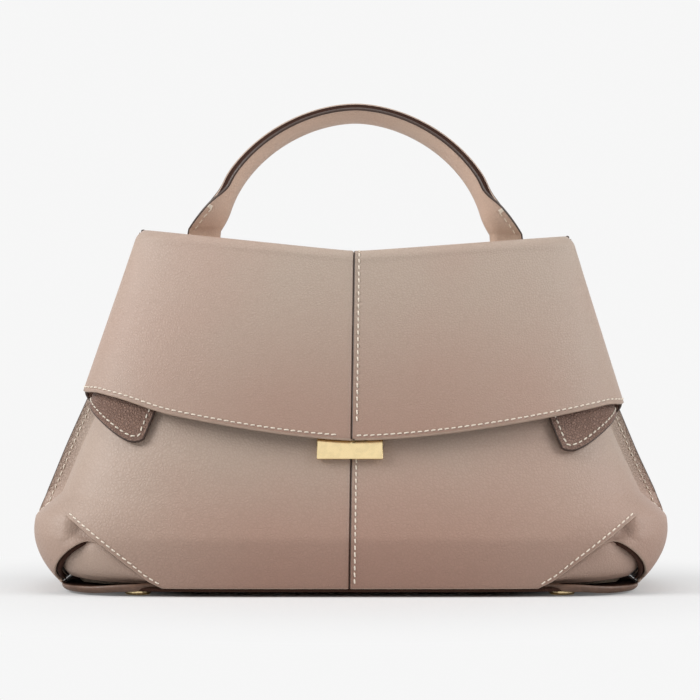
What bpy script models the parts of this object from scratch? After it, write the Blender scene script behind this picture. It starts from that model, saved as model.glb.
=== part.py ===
# Top handle bag of soft leather with a lapped front flap, drawn in metres with +Z up.
# The front faces -Y, the feet stand on Z = 0 and the origin lies under the middle of the bag.
import math

import bmesh
import bpy
import numpy as np
from mathutils import Matrix, Vector

# Fits and leather
GAP = 0.0003
OVERRUN = 0.002
LEATHER = 0.0018
SKIVED = 0.0010
WRAP_CLEARANCE = 0.0021
GORE_CLEARANCE = 0.0013

# Feet and base
FOOT_RADIUS = 0.007
FOOT_HEIGHT = 0.0028
FOOT_EDGE = 0.0009
FOOT_STUD_RADIUS = 0.0020
STUD_CLEARANCE = 0.0003
FOOT_OUT_SHARE = 0.6647
FOOT_FORWARD_SHARE = 0.6571
WASHER_RADIUS = 0.0045
WASHER_THICK = 0.0007
BASE_PANEL_THICK = 0.0020
BASE_PANEL_INSET = 0.0004
BASE_BOARD_THICK = 0.0022
BASE_BOARD_INSET = 0.0108

# Body outline: the lower end is boxy, the mouth is a narrow lens
BACK_TOP = 0.1815
SIDE_TOP = 0.1780
FRONT_TOP = 0.1735
TOP_HALF_WIDTH = 0.1070
KNEE_HEIGHT = 0.0440
KNEE_HALF_WIDTH = 0.1670
TUCK_HEIGHT = 0.0460
TUCK_WIDTH_SHARE = 0.224
BELLY_HEIGHT = 0.0300
BELLY_HALF_DEPTH = 0.0700
BELLY_TUCK = 0.0040
FRONT_TOP_HALF_DEPTH = 0.0280
BACK_TOP_HALF_DEPTH = 0.0160
BASE_SQUARENESS = 4.6
FRONT_TOP_SQUARENESS = 2.2
BACK_TOP_SQUARENESS = 4.0

# Pinched side seam, which stands out as a fin above the side wraps
FIN_LENGTH = 0.0090
FIN_FOOT = 0.0402
FIN_RUN = 0.0120

# Corner cut of the front and back panels, with places outwards as shares of the knee's half width
CUT_FOOT_OUT_SHARE = 0.5964
CUT_TIP_OUT_SHARE = 0.9042
CUT_TIP_HEIGHT = 0.0394
WRAP_TUCK = 0.0080
WRAP_LEAST_SHARE = 0.30
GORE_START_OUT_SHARE = 0.5689
GORE_END_OUT_SHARE = 0.9401
GORE_UNDERLAP = 0.0060
GORE_PUFF = 0.0014

# Free edge of a side wrap: how far out it lies at its foot, at its widest and at the panel's cut
WRAP_EDGE_FOOT_OUT_SHARE = 0.9162
WRAP_EDGE_WIDE_OUT_SHARE = 0.9371
WRAP_EDGE_WIDE_HEIGHT = 0.0100
WRAP_EDGE_CUT_OUT_SHARE = 0.8144
WRAP_EDGE_CUT_HEIGHT = 0.0285
WRAP_EDGE_CURVE = 1.4
WRAP_TUCKED_STEPS = 4
WRAP_INNER_STEPS = 5
WRAP_OUTER_STEPS = 4

# Lining, mouth facing, pocket and closure magnet
LINING_INSET = 0.0053
LINING_FOOT_INSET = 0.0060
LINING_NARROWS_FROM = 0.0700
LINING_NARROWS_TO = 0.0420
LINING_THICK = 0.0008
FACING_HEIGHT = 0.0260
FACING_THICK = 0.0011
FACING_DROP = 0.0006
FACING_CLEARANCE = 0.0025
POCKET_HALF_WIDTH = 0.0500
POCKET_FOOT = 0.0750
POCKET_TOP = 0.1400
POCKET_THICK = 0.0010
MAGNET_RADIUS = 0.0080
MAGNET_THICK = 0.0014

# Rear yoke, which carries the flap
YOKE_DROP = 0.0135
YOKE_RISE = 0.0042
YOKE_THICK = 0.0016
YOKE_REACH_SHARE = 0.78

# Flap: a top strip from the yoke to the front ridge, then the fall with its folded wings
HINGE_BACK = 0.0170
STRIP_REAR_CLEARANCE = 0.0013
STRIP_END_HALF = 0.0010
RIDGE_MID_HEIGHT = 0.1802
RIDGE_RISE = 0.0115
RIDGE_HALF_WIDTH = 0.1150
RIDGE_SOFTENING = 0.0060
RIDGE_FOLD_RADIUS = 0.0060
FLAP_TOP_OVERHANG = 0.01345
FLAP_TOP_HEIGHT = 0.1917
FLAP_FOLD_OVERHANG = 0.0029
FLAP_FOLD_HEIGHT = 0.1000
FLAP_CORNER_RADIUS = 0.0065
FLAP_STAND = 0.0082
EDGE_MID_HEIGHT = 0.0812
EDGE_RISE = 0.0227
EDGE_HALF_WIDTH = 0.1450
EDGE_CURVE = 1.55
FLAP_OUTER = 0.0014
FLAP_CORE = 0.0010
FLAP_LINER = 0.0008
LAP_WIDTH = 0.0070
LAP_RAMP = 0.0020
STIFFENER_SETBACK = 0.0040
LINER_SETBACK = 0.0100
WING_FOLD_RADIUS = 0.0037
WING_TOP_WIDTH = 0.0040
WING_INNER_OUT = 0.1070
WING_DIP = 0.0215
WING_DIP_SHARE = 0.85

# Clasp bar on the flap's edge
BAR_WIDTH = 0.0344
BAR_HEIGHT = 0.0200
BAR_THICK = 0.0025
BAR_SHOWING = 0.0090
BAR_BEVEL = 0.0004
RIVET_OUT = 0.0125
RIVET_UP = 0.0060
RIVET_HEAD_RADIUS = 0.0030
RIVET_SHANK_RADIUS = 0.0012
RIVET_CLEARANCE = 0.0004

# Handle: a strap folded to a channel, open at the top of its arch and pinched shut at its ends
HANDLE_HALF_SPAN = 0.0690
HANDLE_ARCH_RISE = 0.0600
HANDLE_ARCH_HEIGHT = 0.1900
HANDLE_FLARE = 0.0060
HANDLE_FLARE_HEIGHT = 0.0120
HANDLE_STRAP_HALF = 0.0180
HANDLE_OPEN_ANGLE = math.radians(55)
HANDLE_PINCH_START_SHARE = 0.12
HANDLE_PINCH_END_SHARE = 0.80
HANDLE_PINCH_RADIUS = 0.0050
HANDLE_PIVOT_RADIUS = 0.0070
HANDLE_LEATHER = 0.0014
HANDLE_CORE = 0.0008
HANDLE_LINER = 0.0010
HANDLE_LAYER_GAP = 0.0007
HANDLE_SEAT_SHARE = 0.40
ANCHOR_INNER_OUT = 0.0700
ANCHOR_OUTER_OUT = 0.0880

# Steps of the meshes
OUTLINE_STEPS = 120
SHARP_ANGLE = math.radians(35)
SIDE_CROWDING = 1.35
WALL_COLUMNS = 10
WRAP_ROWS = 6
WALL_ROW_SHARES = (0.0, 0.06, 0.145, 0.34, 0.56, 0.78, 1.0)
FLAP_COLUMNS = 10
FLAP_ROWS = (0.0, 0.5, 1.0, 1.34, 1.67, 2.0, 2.15, 2.4, 2.65, 2.85, 3.0)
LINER_ROW_ENDS = (0.08, 2.98)
STIFFENER_ROW_ENDS = (2.04, 2.96)
ANCHOR_ROWS = (0.15, 0.5, 0.85)
FOLD_COLUMNS = 3
WING_COLUMNS = 4
HANDLE_STATIONS = 20
HANDLE_COLUMNS = 4
ROUND_SIDES = 16
SLOPE_STEP = 0.0004
SHARE_STEP = 0.003

FOOT_OUT = KNEE_HALF_WIDTH * FOOT_OUT_SHARE
FOOT_FORWARD = BELLY_HALF_DEPTH * FOOT_FORWARD_SHARE
TUCK_WIDTH = KNEE_HALF_WIDTH * TUCK_WIDTH_SHARE
CUT_FOOT_OUT = KNEE_HALF_WIDTH * CUT_FOOT_OUT_SHARE
CUT_TIP_OUT = KNEE_HALF_WIDTH * CUT_TIP_OUT_SHARE
GORE_START_OUT = KNEE_HALF_WIDTH * GORE_START_OUT_SHARE
GORE_END_OUT = KNEE_HALF_WIDTH * GORE_END_OUT_SHARE
WRAP_EDGE_FOOT_OUT = KNEE_HALF_WIDTH * WRAP_EDGE_FOOT_OUT_SHARE
WRAP_EDGE_WIDE_OUT = KNEE_HALF_WIDTH * WRAP_EDGE_WIDE_OUT_SHARE
WRAP_EDGE_CUT_OUT = KNEE_HALF_WIDTH * WRAP_EDGE_CUT_OUT_SHARE
YOKE_FOOT = BACK_TOP - YOKE_DROP
YOKE_TOP = BACK_TOP + YOKE_RISE
HINGE_HEIGHT = YOKE_TOP + GAP
BASE_UNDERSIDE = FOOT_HEIGHT + GAP
WALL_FOOT = BASE_UNDERSIDE + BASE_PANEL_THICK + GAP
BOARD_TOP = WALL_FOOT + BASE_BOARD_THICK
WASHER_UNDERSIDE = BOARD_TOP + GAP
FLOOR_UNDERSIDE = WASHER_UNDERSIDE + WASHER_THICK + GAP
FIN_HALF = LEATHER + GAP / 2
WRAP_SINK = LEATHER + WRAP_CLEARANCE
GORE_DEPTH = WRAP_SINK + LEATHER + GORE_CLEARANCE
CORE_DEPTH = FLAP_OUTER + GAP
LINER_DEPTH = CORE_DEPTH + FLAP_CORE + GAP
FLAP_THICK = LINER_DEPTH + FLAP_LINER


def blend(low, high, share):
    return low + (high - low) * share


def ramp(value, start, end):
    return min(max((value - start) / (end - start), 0.0), 1.0)


def clear_scene():
    for thing in list(bpy.data.objects):
        bpy.data.objects.remove(thing, do_unlink=True)


def material(name, colour, roughness, metallic=0.0):
    made = bpy.data.materials.new(name)
    made.use_nodes = True
    shader = made.node_tree.nodes["Principled BSDF"]
    shader.inputs["Base Color"].default_value = (*colour, 1.0)
    shader.inputs["Roughness"].default_value = roughness
    shader.inputs["Metallic"].default_value = metallic
    return made


def finish(name, mesh, skin, pivot=None, parent=None):
    # The mesh is built in place, then moved so that the object's origin lies on its own pivot.
    made = bpy.data.objects.new(name, mesh)
    bpy.context.collection.objects.link(made)
    mesh.materials.append(skin)
    mesh.shade_smooth()
    mesh.set_sharp_from_angle(angle=SHARP_ANGLE)
    if pivot is not None:
        mesh.transform(Matrix.Translation(-pivot))
        made.location = pivot
    if parent is not None:
        made.parent = parent
        made.location = made.location - parent.location
    return made


def mesh_from(build, name):
    shape = bmesh.new()
    build(shape)
    bmesh.ops.recalc_face_normals(shape, faces=shape.faces)
    if shape.calc_volume(signed=True) < 0.0:
        bmesh.ops.reverse_faces(shape, faces=shape.faces)
    mesh = bpy.data.meshes.new(name)
    shape.to_mesh(mesh)
    shape.free()
    return mesh


def shell(name, outer, inner, skin, pivot=None, parent=None, keep=None):
    # A sheet with two faces: outer and inner hold the same columns and rows of points.
    # keep tells which cells of the grid have leather.
    columns = len(outer)
    rows = len(outer[0])

    def build(shape):
        top = [[shape.verts.new(p) for p in column] for column in outer]
        under = [[shape.verts.new(p) for p in column] for column in inner]
        edges = {}
        for i in range(columns - 1):
            for j in range(rows - 1):
                if keep is not None and not keep(i, j):
                    continue
                corners = [(i, j), (i + 1, j), (i + 1, j + 1), (i, j + 1)]
                shape.faces.new([top[a][b] for a, b in corners])
                shape.faces.new([under[a][b] for a, b in reversed(corners)])
                for start, end in zip(corners, corners[1:] + corners[:1]):
                    if (end, start) in edges:
                        del edges[(end, start)]
                    else:
                        edges[(start, end)] = True
        for (a, b), (c, d) in edges:
            shape.faces.new([top[c][d], top[a][b], under[a][b], under[c][d]])
        loose = [v for v in shape.verts if not v.link_faces]
        bmesh.ops.delete(shape, geom=loose, context="VERTS")

    return finish(name, mesh_from(build, name), skin, pivot, parent)


def add_loft(shape, loops, closed):
    # Joins loops of points. A closed loft returns to its first loop, an open one is capped.
    rings = [[shape.verts.new(p) for p in loop] for loop in loops]
    pairs = list(zip(rings, rings[1:]))
    if closed:
        pairs.append((rings[-1], rings[0]))
    for low, high in pairs:
        for i in range(len(low)):
            j = (i + 1) % len(low)
            shape.faces.new([low[i], low[j], high[j], high[i]])
    if not closed:
        shape.faces.new(list(reversed(rings[0])))
        shape.faces.new(rings[-1])


def loft(name, loops, skin, closed=False, pivot=None, parent=None):
    mesh = mesh_from(lambda shape: add_loft(shape, loops, closed), name)
    return finish(name, mesh, skin, pivot, parent)


def turned(profile, centre, axis):
    # Loops for a loft turned about an axis: the profile holds (distance along, radius) pairs.
    frame = axis.to_track_quat("Z", "Y").to_matrix()
    angles = [2 * math.pi * i / ROUND_SIDES for i in range(ROUND_SIDES)]
    return [
        [centre + frame @ Vector((r * math.cos(a), r * math.sin(a), along)) for a in angles]
        for along, r in profile
    ]


def body_slant(z):
    # The straight side line, which carries on past the mouth.
    return blend(KNEE_HALF_WIDTH, TOP_HALF_WIDTH, (z - KNEE_HEIGHT) / (BACK_TOP - KNEE_HEIGHT))


def body_half_width(z):
    return body_slant(z) - TUCK_WIDTH * ramp(z, TUCK_HEIGHT, 0.0) ** 2


def body_half_depth(back, z):
    top = BACK_TOP_HALF_DEPTH if back else FRONT_TOP_HALF_DEPTH
    line = blend(BELLY_HALF_DEPTH, top, max(z - BELLY_HEIGHT, 0.0) / (BACK_TOP - BELLY_HEIGHT))
    return line - BELLY_TUCK * ramp(z, BELLY_HEIGHT, 0.0) ** 2


def squareness(back, z):
    top = BACK_TOP_SQUARENESS if back else FRONT_TOP_SQUARENESS
    return blend(BASE_SQUARENESS, top, ramp(z, 0.0, BACK_TOP))


def fin_length(z):
    return FIN_LENGTH * ramp(z, FIN_FOOT, FIN_FOOT + FIN_RUN)


def quarter(width, depth, power, fin=0.0, fin_half=0.0):
    # One quarter of a level outline, from the middle out to the side: a superellipse, joined by
    # a fourth-power mean to a thin straight fin. Returns x, y and the share of length gone.
    angle = np.linspace(0.0, math.pi / 2, OUTLINE_STEPS)
    x = width * np.sin(angle) ** (2 / power)
    swell = depth * np.abs(np.cos(angle)) ** (2 / power)
    if fin > 0.0:
        x = np.append(x, width + fin)
        swell = np.append(swell, 0.0)
    y = (swell**4 + fin_half**4) ** 0.25
    gone = np.append(0.0, np.cumsum(np.hypot(np.diff(x), np.diff(y))))
    return x, y, gone / gone[-1]


def body_quarter(back, z):
    fin = fin_length(z)
    width = body_half_width(z) - fin
    return quarter(width, body_half_depth(back, z), squareness(back, z), fin, FIN_HALF)


def place(outline, back, s, z, stand=0.0):
    x, y, gone = outline
    along = abs(s)
    out = math.copysign(float(np.interp(along, gone, x)), s)
    depth = float(np.interp(along, gone, y)) + stand
    return Vector((out, depth if back else -depth, z))


def body_surface(back, s, z):
    return place(body_quarter(back, z), back, s, z)


def body_point(back, s, z, depth):
    # A point at the given depth below the outer face, s running from side seam to side seam.
    here = body_surface(back, s, z)
    after = body_surface(back, min(s + SHARE_STEP, 1.0), z)
    across = after - body_surface(back, max(s - SHARE_STEP, -1.0), z)
    up = body_surface(back, s, z + SLOPE_STEP) - body_surface(back, s, z - SLOPE_STEP)
    normal = across.cross(up).normalized()
    return here + normal * (depth if back else -depth)


def body_share(back, out, z):
    # The share of the outline at which it lies this far out.
    x, _, gone = body_quarter(back, z)
    return float(np.interp(out, x, gone))


def inset_surface(back, s, z, inset):
    width = body_half_width(z) - fin_length(z) - inset
    return place(quarter(width, body_half_depth(back, z) - inset, squareness(back, z)), back, s, z)


def wall_top(back, s):
    return blend(BACK_TOP if back else FRONT_TOP, SIDE_TOP, s * s)


def cut_height(back, s):
    # Lower edge of a panel: level, then rising in a straight cut across the corner.
    height = WALL_FOOT
    for _ in range(5):
        out = abs(body_surface(back, s, height).x)
        height = blend(WALL_FOOT, CUT_TIP_HEIGHT, ramp(out, CUT_FOOT_OUT, CUT_TIP_OUT))
    return height


def toward_side(count):
    # Shares from the middle to the side, closer together where the wall turns.
    return [1.0 - (1.0 - i / count) ** SIDE_CROWDING for i in range(count + 1)]


def loop_places():
    # Places once round a level loop: front from left to right, then back from right to left.
    shares = toward_side(WALL_COLUMNS)
    half = [-s for s in reversed(shares[1:-1])] + shares[:-1]
    front = [(False, s) for s in half]
    back = [(True, -s) for s in half]
    return front + [(False, 1.0)] + back + [(True, -1.0)]


def inset_loop(z, inset):
    return [inset_surface(back, s, z, inset) for back, s in loop_places()]


def wall_panel(name, back, side, laps, skin):
    length = float(np.sum(np.hypot(*[np.diff(v) for v in body_quarter(back, KNEE_HEIGHT)[:2]])))
    tip = tip_share(back)
    shares = toward_side(WALL_COLUMNS)
    nearest = min(shares, key=lambda s: abs(s - tip))
    places = [(side * (tip if s == nearest else s), 0.0, LEATHER) for s in shares]
    sunk = LEATHER + GAP
    if laps:
        places[0] = (side * LAP_RAMP / length, 0.0, LEATHER)
        under = [LAP_RAMP / length, -GAP / length, -LAP_WIDTH / length]
        tongue = [(side * under[2], sunk, sunk + SKIVED), (side * GAP / length, sunk, sunk + SKIVED)]
        places = tongue + places
    else:
        places[0] = (side * GAP / length, 0.0, LEATHER)
    outer = []
    inner = []
    for s, high, low in places:
        foot = cut_height(back, s)
        top = wall_top(back, s)
        levels = [blend(foot, top, share) for share in WALL_ROW_SHARES]
        outer.append([body_point(back, s, z, high) for z in levels])
        inner.append([body_point(back, s, z, low) for z in levels])
    return shell(name, outer, inner, skin)


def wrap_edge_out(z):
    # The free edge bulges outwards low down and runs in under the panel's cut higher up.
    if z < WRAP_EDGE_WIDE_HEIGHT:
        share = ramp(z, WRAP_EDGE_WIDE_HEIGHT, WALL_FOOT)
        return blend(WRAP_EDGE_WIDE_OUT, WRAP_EDGE_FOOT_OUT, share**2)
    share = (z - WRAP_EDGE_WIDE_HEIGHT) / (WRAP_EDGE_CUT_HEIGHT - WRAP_EDGE_WIDE_HEIGHT)
    return blend(WRAP_EDGE_WIDE_OUT, WRAP_EDGE_CUT_OUT, share**WRAP_EDGE_CURVE)


def tip_share(back):
    return body_share(back, CUT_TIP_OUT, CUT_TIP_HEIGHT)


def side_wrap(name, side, skin):
    # Goes round the bottom end from cut to cut: flush under the seam, sunk where panels cover it.
    half = [(i / WRAP_INNER_STEPS, 0.0, i < WRAP_TUCKED_STEPS) for i in range(WRAP_INNER_STEPS)]
    half += [(1.0, i / WRAP_OUTER_STEPS, False) for i in range(WRAP_OUTER_STEPS + 1)]
    walk = [(False, *place) for place in half] + [(True, *place) for place in reversed(half)]
    outer = []
    inner = []
    for back, toward_tip, toward_seam, tucked in walk:
        depth = 0.0 if toward_tip == 1.0 else WRAP_SINK
        column_out = []
        column_in = []
        for row in range(WRAP_ROWS + 1):
            lift = row / WRAP_ROWS
            z = WALL_FOOT
            for _ in range(6):
                start = body_share(back, wrap_edge_out(z), z)
                tip = max(tip_share(back), blend(start, 1.0, WRAP_LEAST_SHARE))
                s = blend(blend(start, tip, toward_tip), 1.0, toward_seam)
                top = cut_height(back, s) + (WRAP_TUCK if tucked else -2 * GAP)
                z = blend(WALL_FOOT, top, lift)
            column_out.append(body_point(back, side * s, z, depth))
            column_in.append(body_point(back, side * s, z, depth + LEATHER))
        outer.append(column_out)
        inner.append(column_in)
    return shell(name, outer, inner, skin)


def corner_gore(name, back, side, skin):
    columns = 6
    rows = 4
    start = body_share(back, GORE_START_OUT, WALL_FOOT)
    end = body_share(back, GORE_END_OUT, WRAP_EDGE_WIDE_HEIGHT)
    outer = []
    inner = []
    for i in range(columns + 1):
        s = blend(start, end, i / columns)
        top = cut_height(back, s) + GORE_UNDERLAP
        column_out = []
        column_in = []
        for j in range(rows + 1):
            z = blend(WALL_FOOT, top, j / rows)
            puff = GORE_PUFF * (math.sin(math.pi * i / columns) * math.sin(math.pi * j / rows)) ** 2
            column_out.append(body_point(back, side * s, z, GORE_DEPTH - puff))
            column_in.append(body_point(back, side * s, z, GORE_DEPTH + LEATHER))
        outer.append(column_out)
        inner.append(column_in)
    return shell(name, outer, inner, skin)


def plate(name, underside, thick, inset, skin):
    loops = [inset_loop(WALL_FOOT, inset) for _ in range(2)]
    for loop, z in zip(loops, (underside, underside + thick)):
        for point in loop:
            point.z = z
    return loft(name, loops, skin)


def lining_inset(z):
    return LINING_INSET + LINING_FOOT_INSET * ramp(z, LINING_NARROWS_FROM, LINING_NARROWS_TO)


def lining(skin):
    levels = [FLOOR_UNDERSIDE, TUCK_HEIGHT / 2, LINING_NARROWS_TO, LINING_NARROWS_FROM]
    levels += [blend(LINING_NARROWS_FROM, FRONT_TOP, i / 3) for i in (1, 2)]
    places = loop_places()

    def rim(inset):
        return [inset_surface(back, s, wall_top(back, s), inset) for back, s in places]

    outside = [inset_loop(z, lining_inset(z)) for z in levels] + [rim(LINING_INSET)]
    inside = [rim(LINING_INSET + LINING_THICK)]
    levels[0] = FLOOR_UNDERSIDE + LINING_THICK
    inside += [inset_loop(z, lining_inset(z) + LINING_THICK) for z in reversed(levels)]
    return loft("lining", outside + inside, skin)


def mouth_facing(skin):
    near = LINING_INSET + LINING_THICK + FACING_CLEARANCE
    places = loop_places()

    def rim(inset, drop):
        return [inset_surface(back, s, wall_top(back, s) - drop, inset) for back, s in places]

    low = FACING_DROP + FACING_HEIGHT
    loops = [rim(near, low), rim(near, FACING_DROP)]
    loops += [rim(near + FACING_THICK, FACING_DROP), rim(near + FACING_THICK, low)]
    return loft("mouth_facing", loops, skin, closed=True)


def slip_pocket(skin):
    near = LINING_INSET + LINING_THICK + GAP
    columns = 6
    rows = 4
    sides = []
    for inset in (near, near + POCKET_THICK):
        grid = []
        for i in range(columns + 1):
            out = blend(-POCKET_HALF_WIDTH, POCKET_HALF_WIDTH, i / columns)
            levels = [blend(POCKET_FOOT, POCKET_TOP, j / rows) for j in range(rows + 1)]
            column = []
            for z in levels:
                share = math.copysign(body_share(True, abs(out), z), out)
                column.append(inset_surface(True, share, z, inset))
            grid.append(column)
        sides.append(grid)
    return shell("slip_pocket", sides[0], sides[1], skin)


def rear_yoke(skin):
    rows = 3
    half = [s for s in toward_side(WALL_COLUMNS) if s < YOKE_REACH_SHARE]
    outer = []
    inner = []
    for s in [-s for s in reversed(half[1:])] + half:
        levels = [blend(YOKE_FOOT, YOKE_TOP, j / rows) for j in range(rows + 1)]
        outer.append([body_point(True, s, z, -GAP - YOKE_THICK) for z in levels])
        inner.append([body_point(True, s, z, -GAP) for z in levels])
    return shell("rear_yoke", outer, inner, skin)


def ridge_height(out):
    lift = math.hypot(out, RIDGE_SOFTENING) - RIDGE_SOFTENING
    return RIDGE_MID_HEIGHT + RIDGE_RISE * lift / RIDGE_HALF_WIDTH


def edge_height(out):
    return EDGE_MID_HEIGHT + EDGE_RISE * (abs(out) / EDGE_HALF_WIDTH) ** EDGE_CURVE


def flap_half_width(z):
    share = (FLAP_TOP_HEIGHT - z) / (FLAP_TOP_HEIGHT - FLAP_FOLD_HEIGHT)
    line = body_slant(z) + blend(FLAP_TOP_OVERHANG, FLAP_FOLD_OVERHANG, share)
    rise = FLAP_CORNER_RADIUS * ramp(z, FLAP_TOP_HEIGHT - FLAP_CORNER_RADIUS, FLAP_TOP_HEIGHT)
    return line - FLAP_CORNER_RADIUS + math.sqrt(FLAP_CORNER_RADIUS**2 - rise**2)


def flap_front(s, z):
    outline = quarter(flap_half_width(z), body_half_depth(False, z), squareness(False, z))
    return place(outline, False, s, z, FLAP_STAND)


def strip_rear(out):
    # The strip ends just in front of the yoke, and past the body it narrows to its end.
    x, y, _ = body_quarter(True, HINGE_HEIGHT)
    rear = float(np.interp(abs(out), x, y)) - STRIP_REAR_CLEARANCE
    return max(rear, STRIP_END_HALF)


def flap_surface(s, v):
    # v runs 0 to 1 over the strip, to 2 round the ridge and to 3 down the fall.
    top = flap_front(s, FLAP_TOP_HEIGHT)
    ridge = ridge_height(top.x)
    low = ridge - RIDGE_FOLD_RADIUS
    front = flap_front(s, low)
    turn = front.y + RIDGE_FOLD_RADIUS
    if v <= 1.0:
        out = flap_front(s, ridge).x
        y = blend(strip_rear(out), turn, v)
        return Vector((out, y, blend(HINGE_HEIGHT, ridge, v)))
    if v <= 2.0:
        angle = (v - 1.0) * math.pi / 2
        z = low + RIDGE_FOLD_RADIUS * math.cos(angle)
        return Vector((flap_front(s, z).x, turn - RIDGE_FOLD_RADIUS * math.sin(angle), z))
    edge = EDGE_MID_HEIGHT
    for _ in range(3):
        edge = edge_height(flap_front(s, edge).x)
    return flap_front(s, blend(low, edge, v - 2.0))


def flap_frame(s, v):
    # A surface point with its outward normal and its level tangent towards the side.
    here = flap_surface(s, v)
    across = flap_surface(min(s + SHARE_STEP, 1.0), v) - flap_surface(max(s - SHARE_STEP, -1.0), v)
    down = flap_surface(s, min(v + SHARE_STEP, 3.0)) - flap_surface(s, max(v - SHARE_STEP, 0.0))
    return here, down.cross(across).normalized(), across.normalized()


def flap_point(s, v, depth):
    here, normal, _ = flap_frame(s, v)
    return here - normal * depth


def flap_rows(low, high):
    between = [v for v in FLAP_ROWS if low < v < high]
    return [low] + between + [high]


def flap_share(out, z=FLAP_FOLD_HEIGHT):
    # The share of the flap's outline at which it lies this far out at this height.
    x, _, gone = quarter(flap_half_width(z), body_half_depth(False, z), squareness(False, z))
    return float(np.interp(out, x, gone))


def wing_column(side, turn, share, rows):
    # turn runs 0 to 1 round the side fold, then share runs 0 to 1 back across the wing.
    fold_in = WING_FOLD_RADIUS - FLAP_OUTER
    outer = []
    inner = []
    for v in rows:
        if v < 2.0:
            here, normal, _ = flap_frame(side, v)
            outer.append(here)
            inner.append(here - normal * FLAP_OUTER)
            continue
        here, normal, across = flap_frame(side, v)
        sideways = across * side
        if share == 0.0:
            centre = here - normal * WING_FOLD_RADIUS
            angle = turn * math.pi
            arm = normal * math.cos(angle) + sideways * math.sin(angle)
            outer.append(centre + arm * WING_FOLD_RADIUS)
            inner.append(centre + arm * fold_in)
            continue
        fall = ramp(v, 2.0, 3.0)
        widest = 1.0 - flap_share(WING_INNER_OUT)
        fold_out = flap_half_width(FLAP_FOLD_HEIGHT)
        narrowest = widest * WING_TOP_WIDTH / (fold_out - WING_INNER_OUT)
        s = 1.0 - share * blend(narrowest, widest, fall)
        point, out_normal, _ = flap_frame(side * s, v)
        dip = WING_DIP * math.sin(math.pi / 2 * share / WING_DIP_SHARE) * fall**3
        slide = flap_surface(side * s, 3.0) - flap_surface(side * s, 3.0 - SHARE_STEP)
        level = flap_surface(side, v).z - point.z - dip
        point = point + slide * (level / slide.z)
        outer.append(point - out_normal * 2 * WING_FOLD_RADIUS)
        inner.append(point - out_normal * (WING_FOLD_RADIUS + fold_in))
    return outer, inner


def flap_half(name, side, laps, skin, pivot, parent):
    rows = flap_rows(0.0, 3.0)
    per_length = flap_share(LAP_WIDTH) / LAP_WIDTH
    shares = toward_side(FLAP_COLUMNS)
    places = [(side * s, 0.0, FLAP_OUTER) for s in shares]
    if laps:
        places[0] = (side * LAP_RAMP * per_length, 0.0, FLAP_OUTER)
        tongue = [
            (-side * LAP_WIDTH * per_length, CORE_DEPTH, CORE_DEPTH + FLAP_CORE),
            (side * GAP * per_length, CORE_DEPTH, CORE_DEPTH + FLAP_CORE),
        ]
        places = tongue + places
    else:
        places[0] = (side * GAP * per_length, 0.0, FLAP_OUTER)
    outer = [[flap_point(s, v, high) for v in rows] for s, high, _ in places]
    inner = [[flap_point(s, v, low) for v in rows] for s, _, low in places]
    front_columns = len(outer)
    for i in range(1, FOLD_COLUMNS + 1):
        column = wing_column(side, i / FOLD_COLUMNS, 0.0, rows)
        outer.append(column[0])
        inner.append(column[1])
    for i in range(1, WING_COLUMNS + 1):
        column = wing_column(side, 1.0, i / WING_COLUMNS, rows)
        outer.append(column[0])
        inner.append(column[1])
    wing_row = rows.index(2.0)

    def keep(i, j):
        return i < front_columns - 1 or j >= wing_row

    return shell(name, outer, inner, skin, pivot, parent, keep)


def flap_patch(name, shares, rows, near, thick, skin, pivot, parent):
    outer = [[flap_point(s, v, near) for v in rows] for s in shares]
    inner = [[flap_point(s, v, near + thick) for v in rows] for s in shares]
    return shell(name, outer, inner, skin, pivot, parent)


def handle_path(share):
    # Inner edge of the arch: half an ellipse whose feet flare outwards. share runs -1 to 1.
    angle = share * math.pi / 2
    z = HANDLE_ARCH_HEIGHT + HANDLE_ARCH_RISE * math.cos(angle)
    flare = HANDLE_FLARE * ramp(z, HANDLE_ARCH_HEIGHT + HANDLE_FLARE_HEIGHT, HANDLE_ARCH_HEIGHT) ** 2
    return Vector((math.sin(angle) * HANDLE_HALF_SPAN + math.copysign(flare, share), 0.0, z))


def handle_section(share):
    # How far the strap is folded: its half angle and the radius of its outer face.
    pinch = ramp(abs(share), HANDLE_PINCH_START_SHARE, HANDLE_PINCH_END_SHARE)
    pinch = pinch * pinch * (3 - 2 * pinch)
    angle = blend(HANDLE_OPEN_ANGLE, math.pi / 2, pinch)
    open_radius = HANDLE_STRAP_HALF / HANDLE_OPEN_ANGLE
    return angle, blend(open_radius, HANDLE_PINCH_RADIUS, pinch)


def handle_point(share, across, depth, pivot):
    # across runs -1 to 1 over the strap, depth goes from its outer face into the channel.
    angle, radius = handle_section(share)
    here = handle_path(share)
    along = handle_path(min(share + SHARE_STEP, 1.0)) - handle_path(max(share - SHARE_STEP, -1.0))
    out = Vector((-along.z, 0.0, along.x)).normalized()
    reach = abs(across) * HANDLE_STRAP_HALF
    leg = max(reach - radius * angle, 0.0)
    turn = min(reach / radius, angle)
    side = (radius - depth) * math.sin(turn) + leg * math.cos(turn)
    rise = radius - (radius - depth) * math.cos(turn) + leg * math.sin(turn)
    point = here + out * rise + Vector((0.0, math.copysign(side, across), 0.0))
    if abs(share) == 1.0:
        point.z = pivot.z - math.sqrt(HANDLE_PIVOT_RADIUS**2 - side**2)
    return point


def handle_layer(name, near, thick, skin, pivot, parent):
    stations = [i / HANDLE_STATIONS * 2 - 1 for i in range(HANDLE_STATIONS + 1)]
    across = [i / HANDLE_COLUMNS - 1 for i in range(2 * HANDLE_COLUMNS + 1)]
    outer = [[handle_point(t, q, near, pivot) for q in across] for t in stations]
    inner = [[handle_point(t, q, near + thick, pivot) for q in across] for t in stations]
    return shell(name, outer, inner, skin, pivot, parent)


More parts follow.
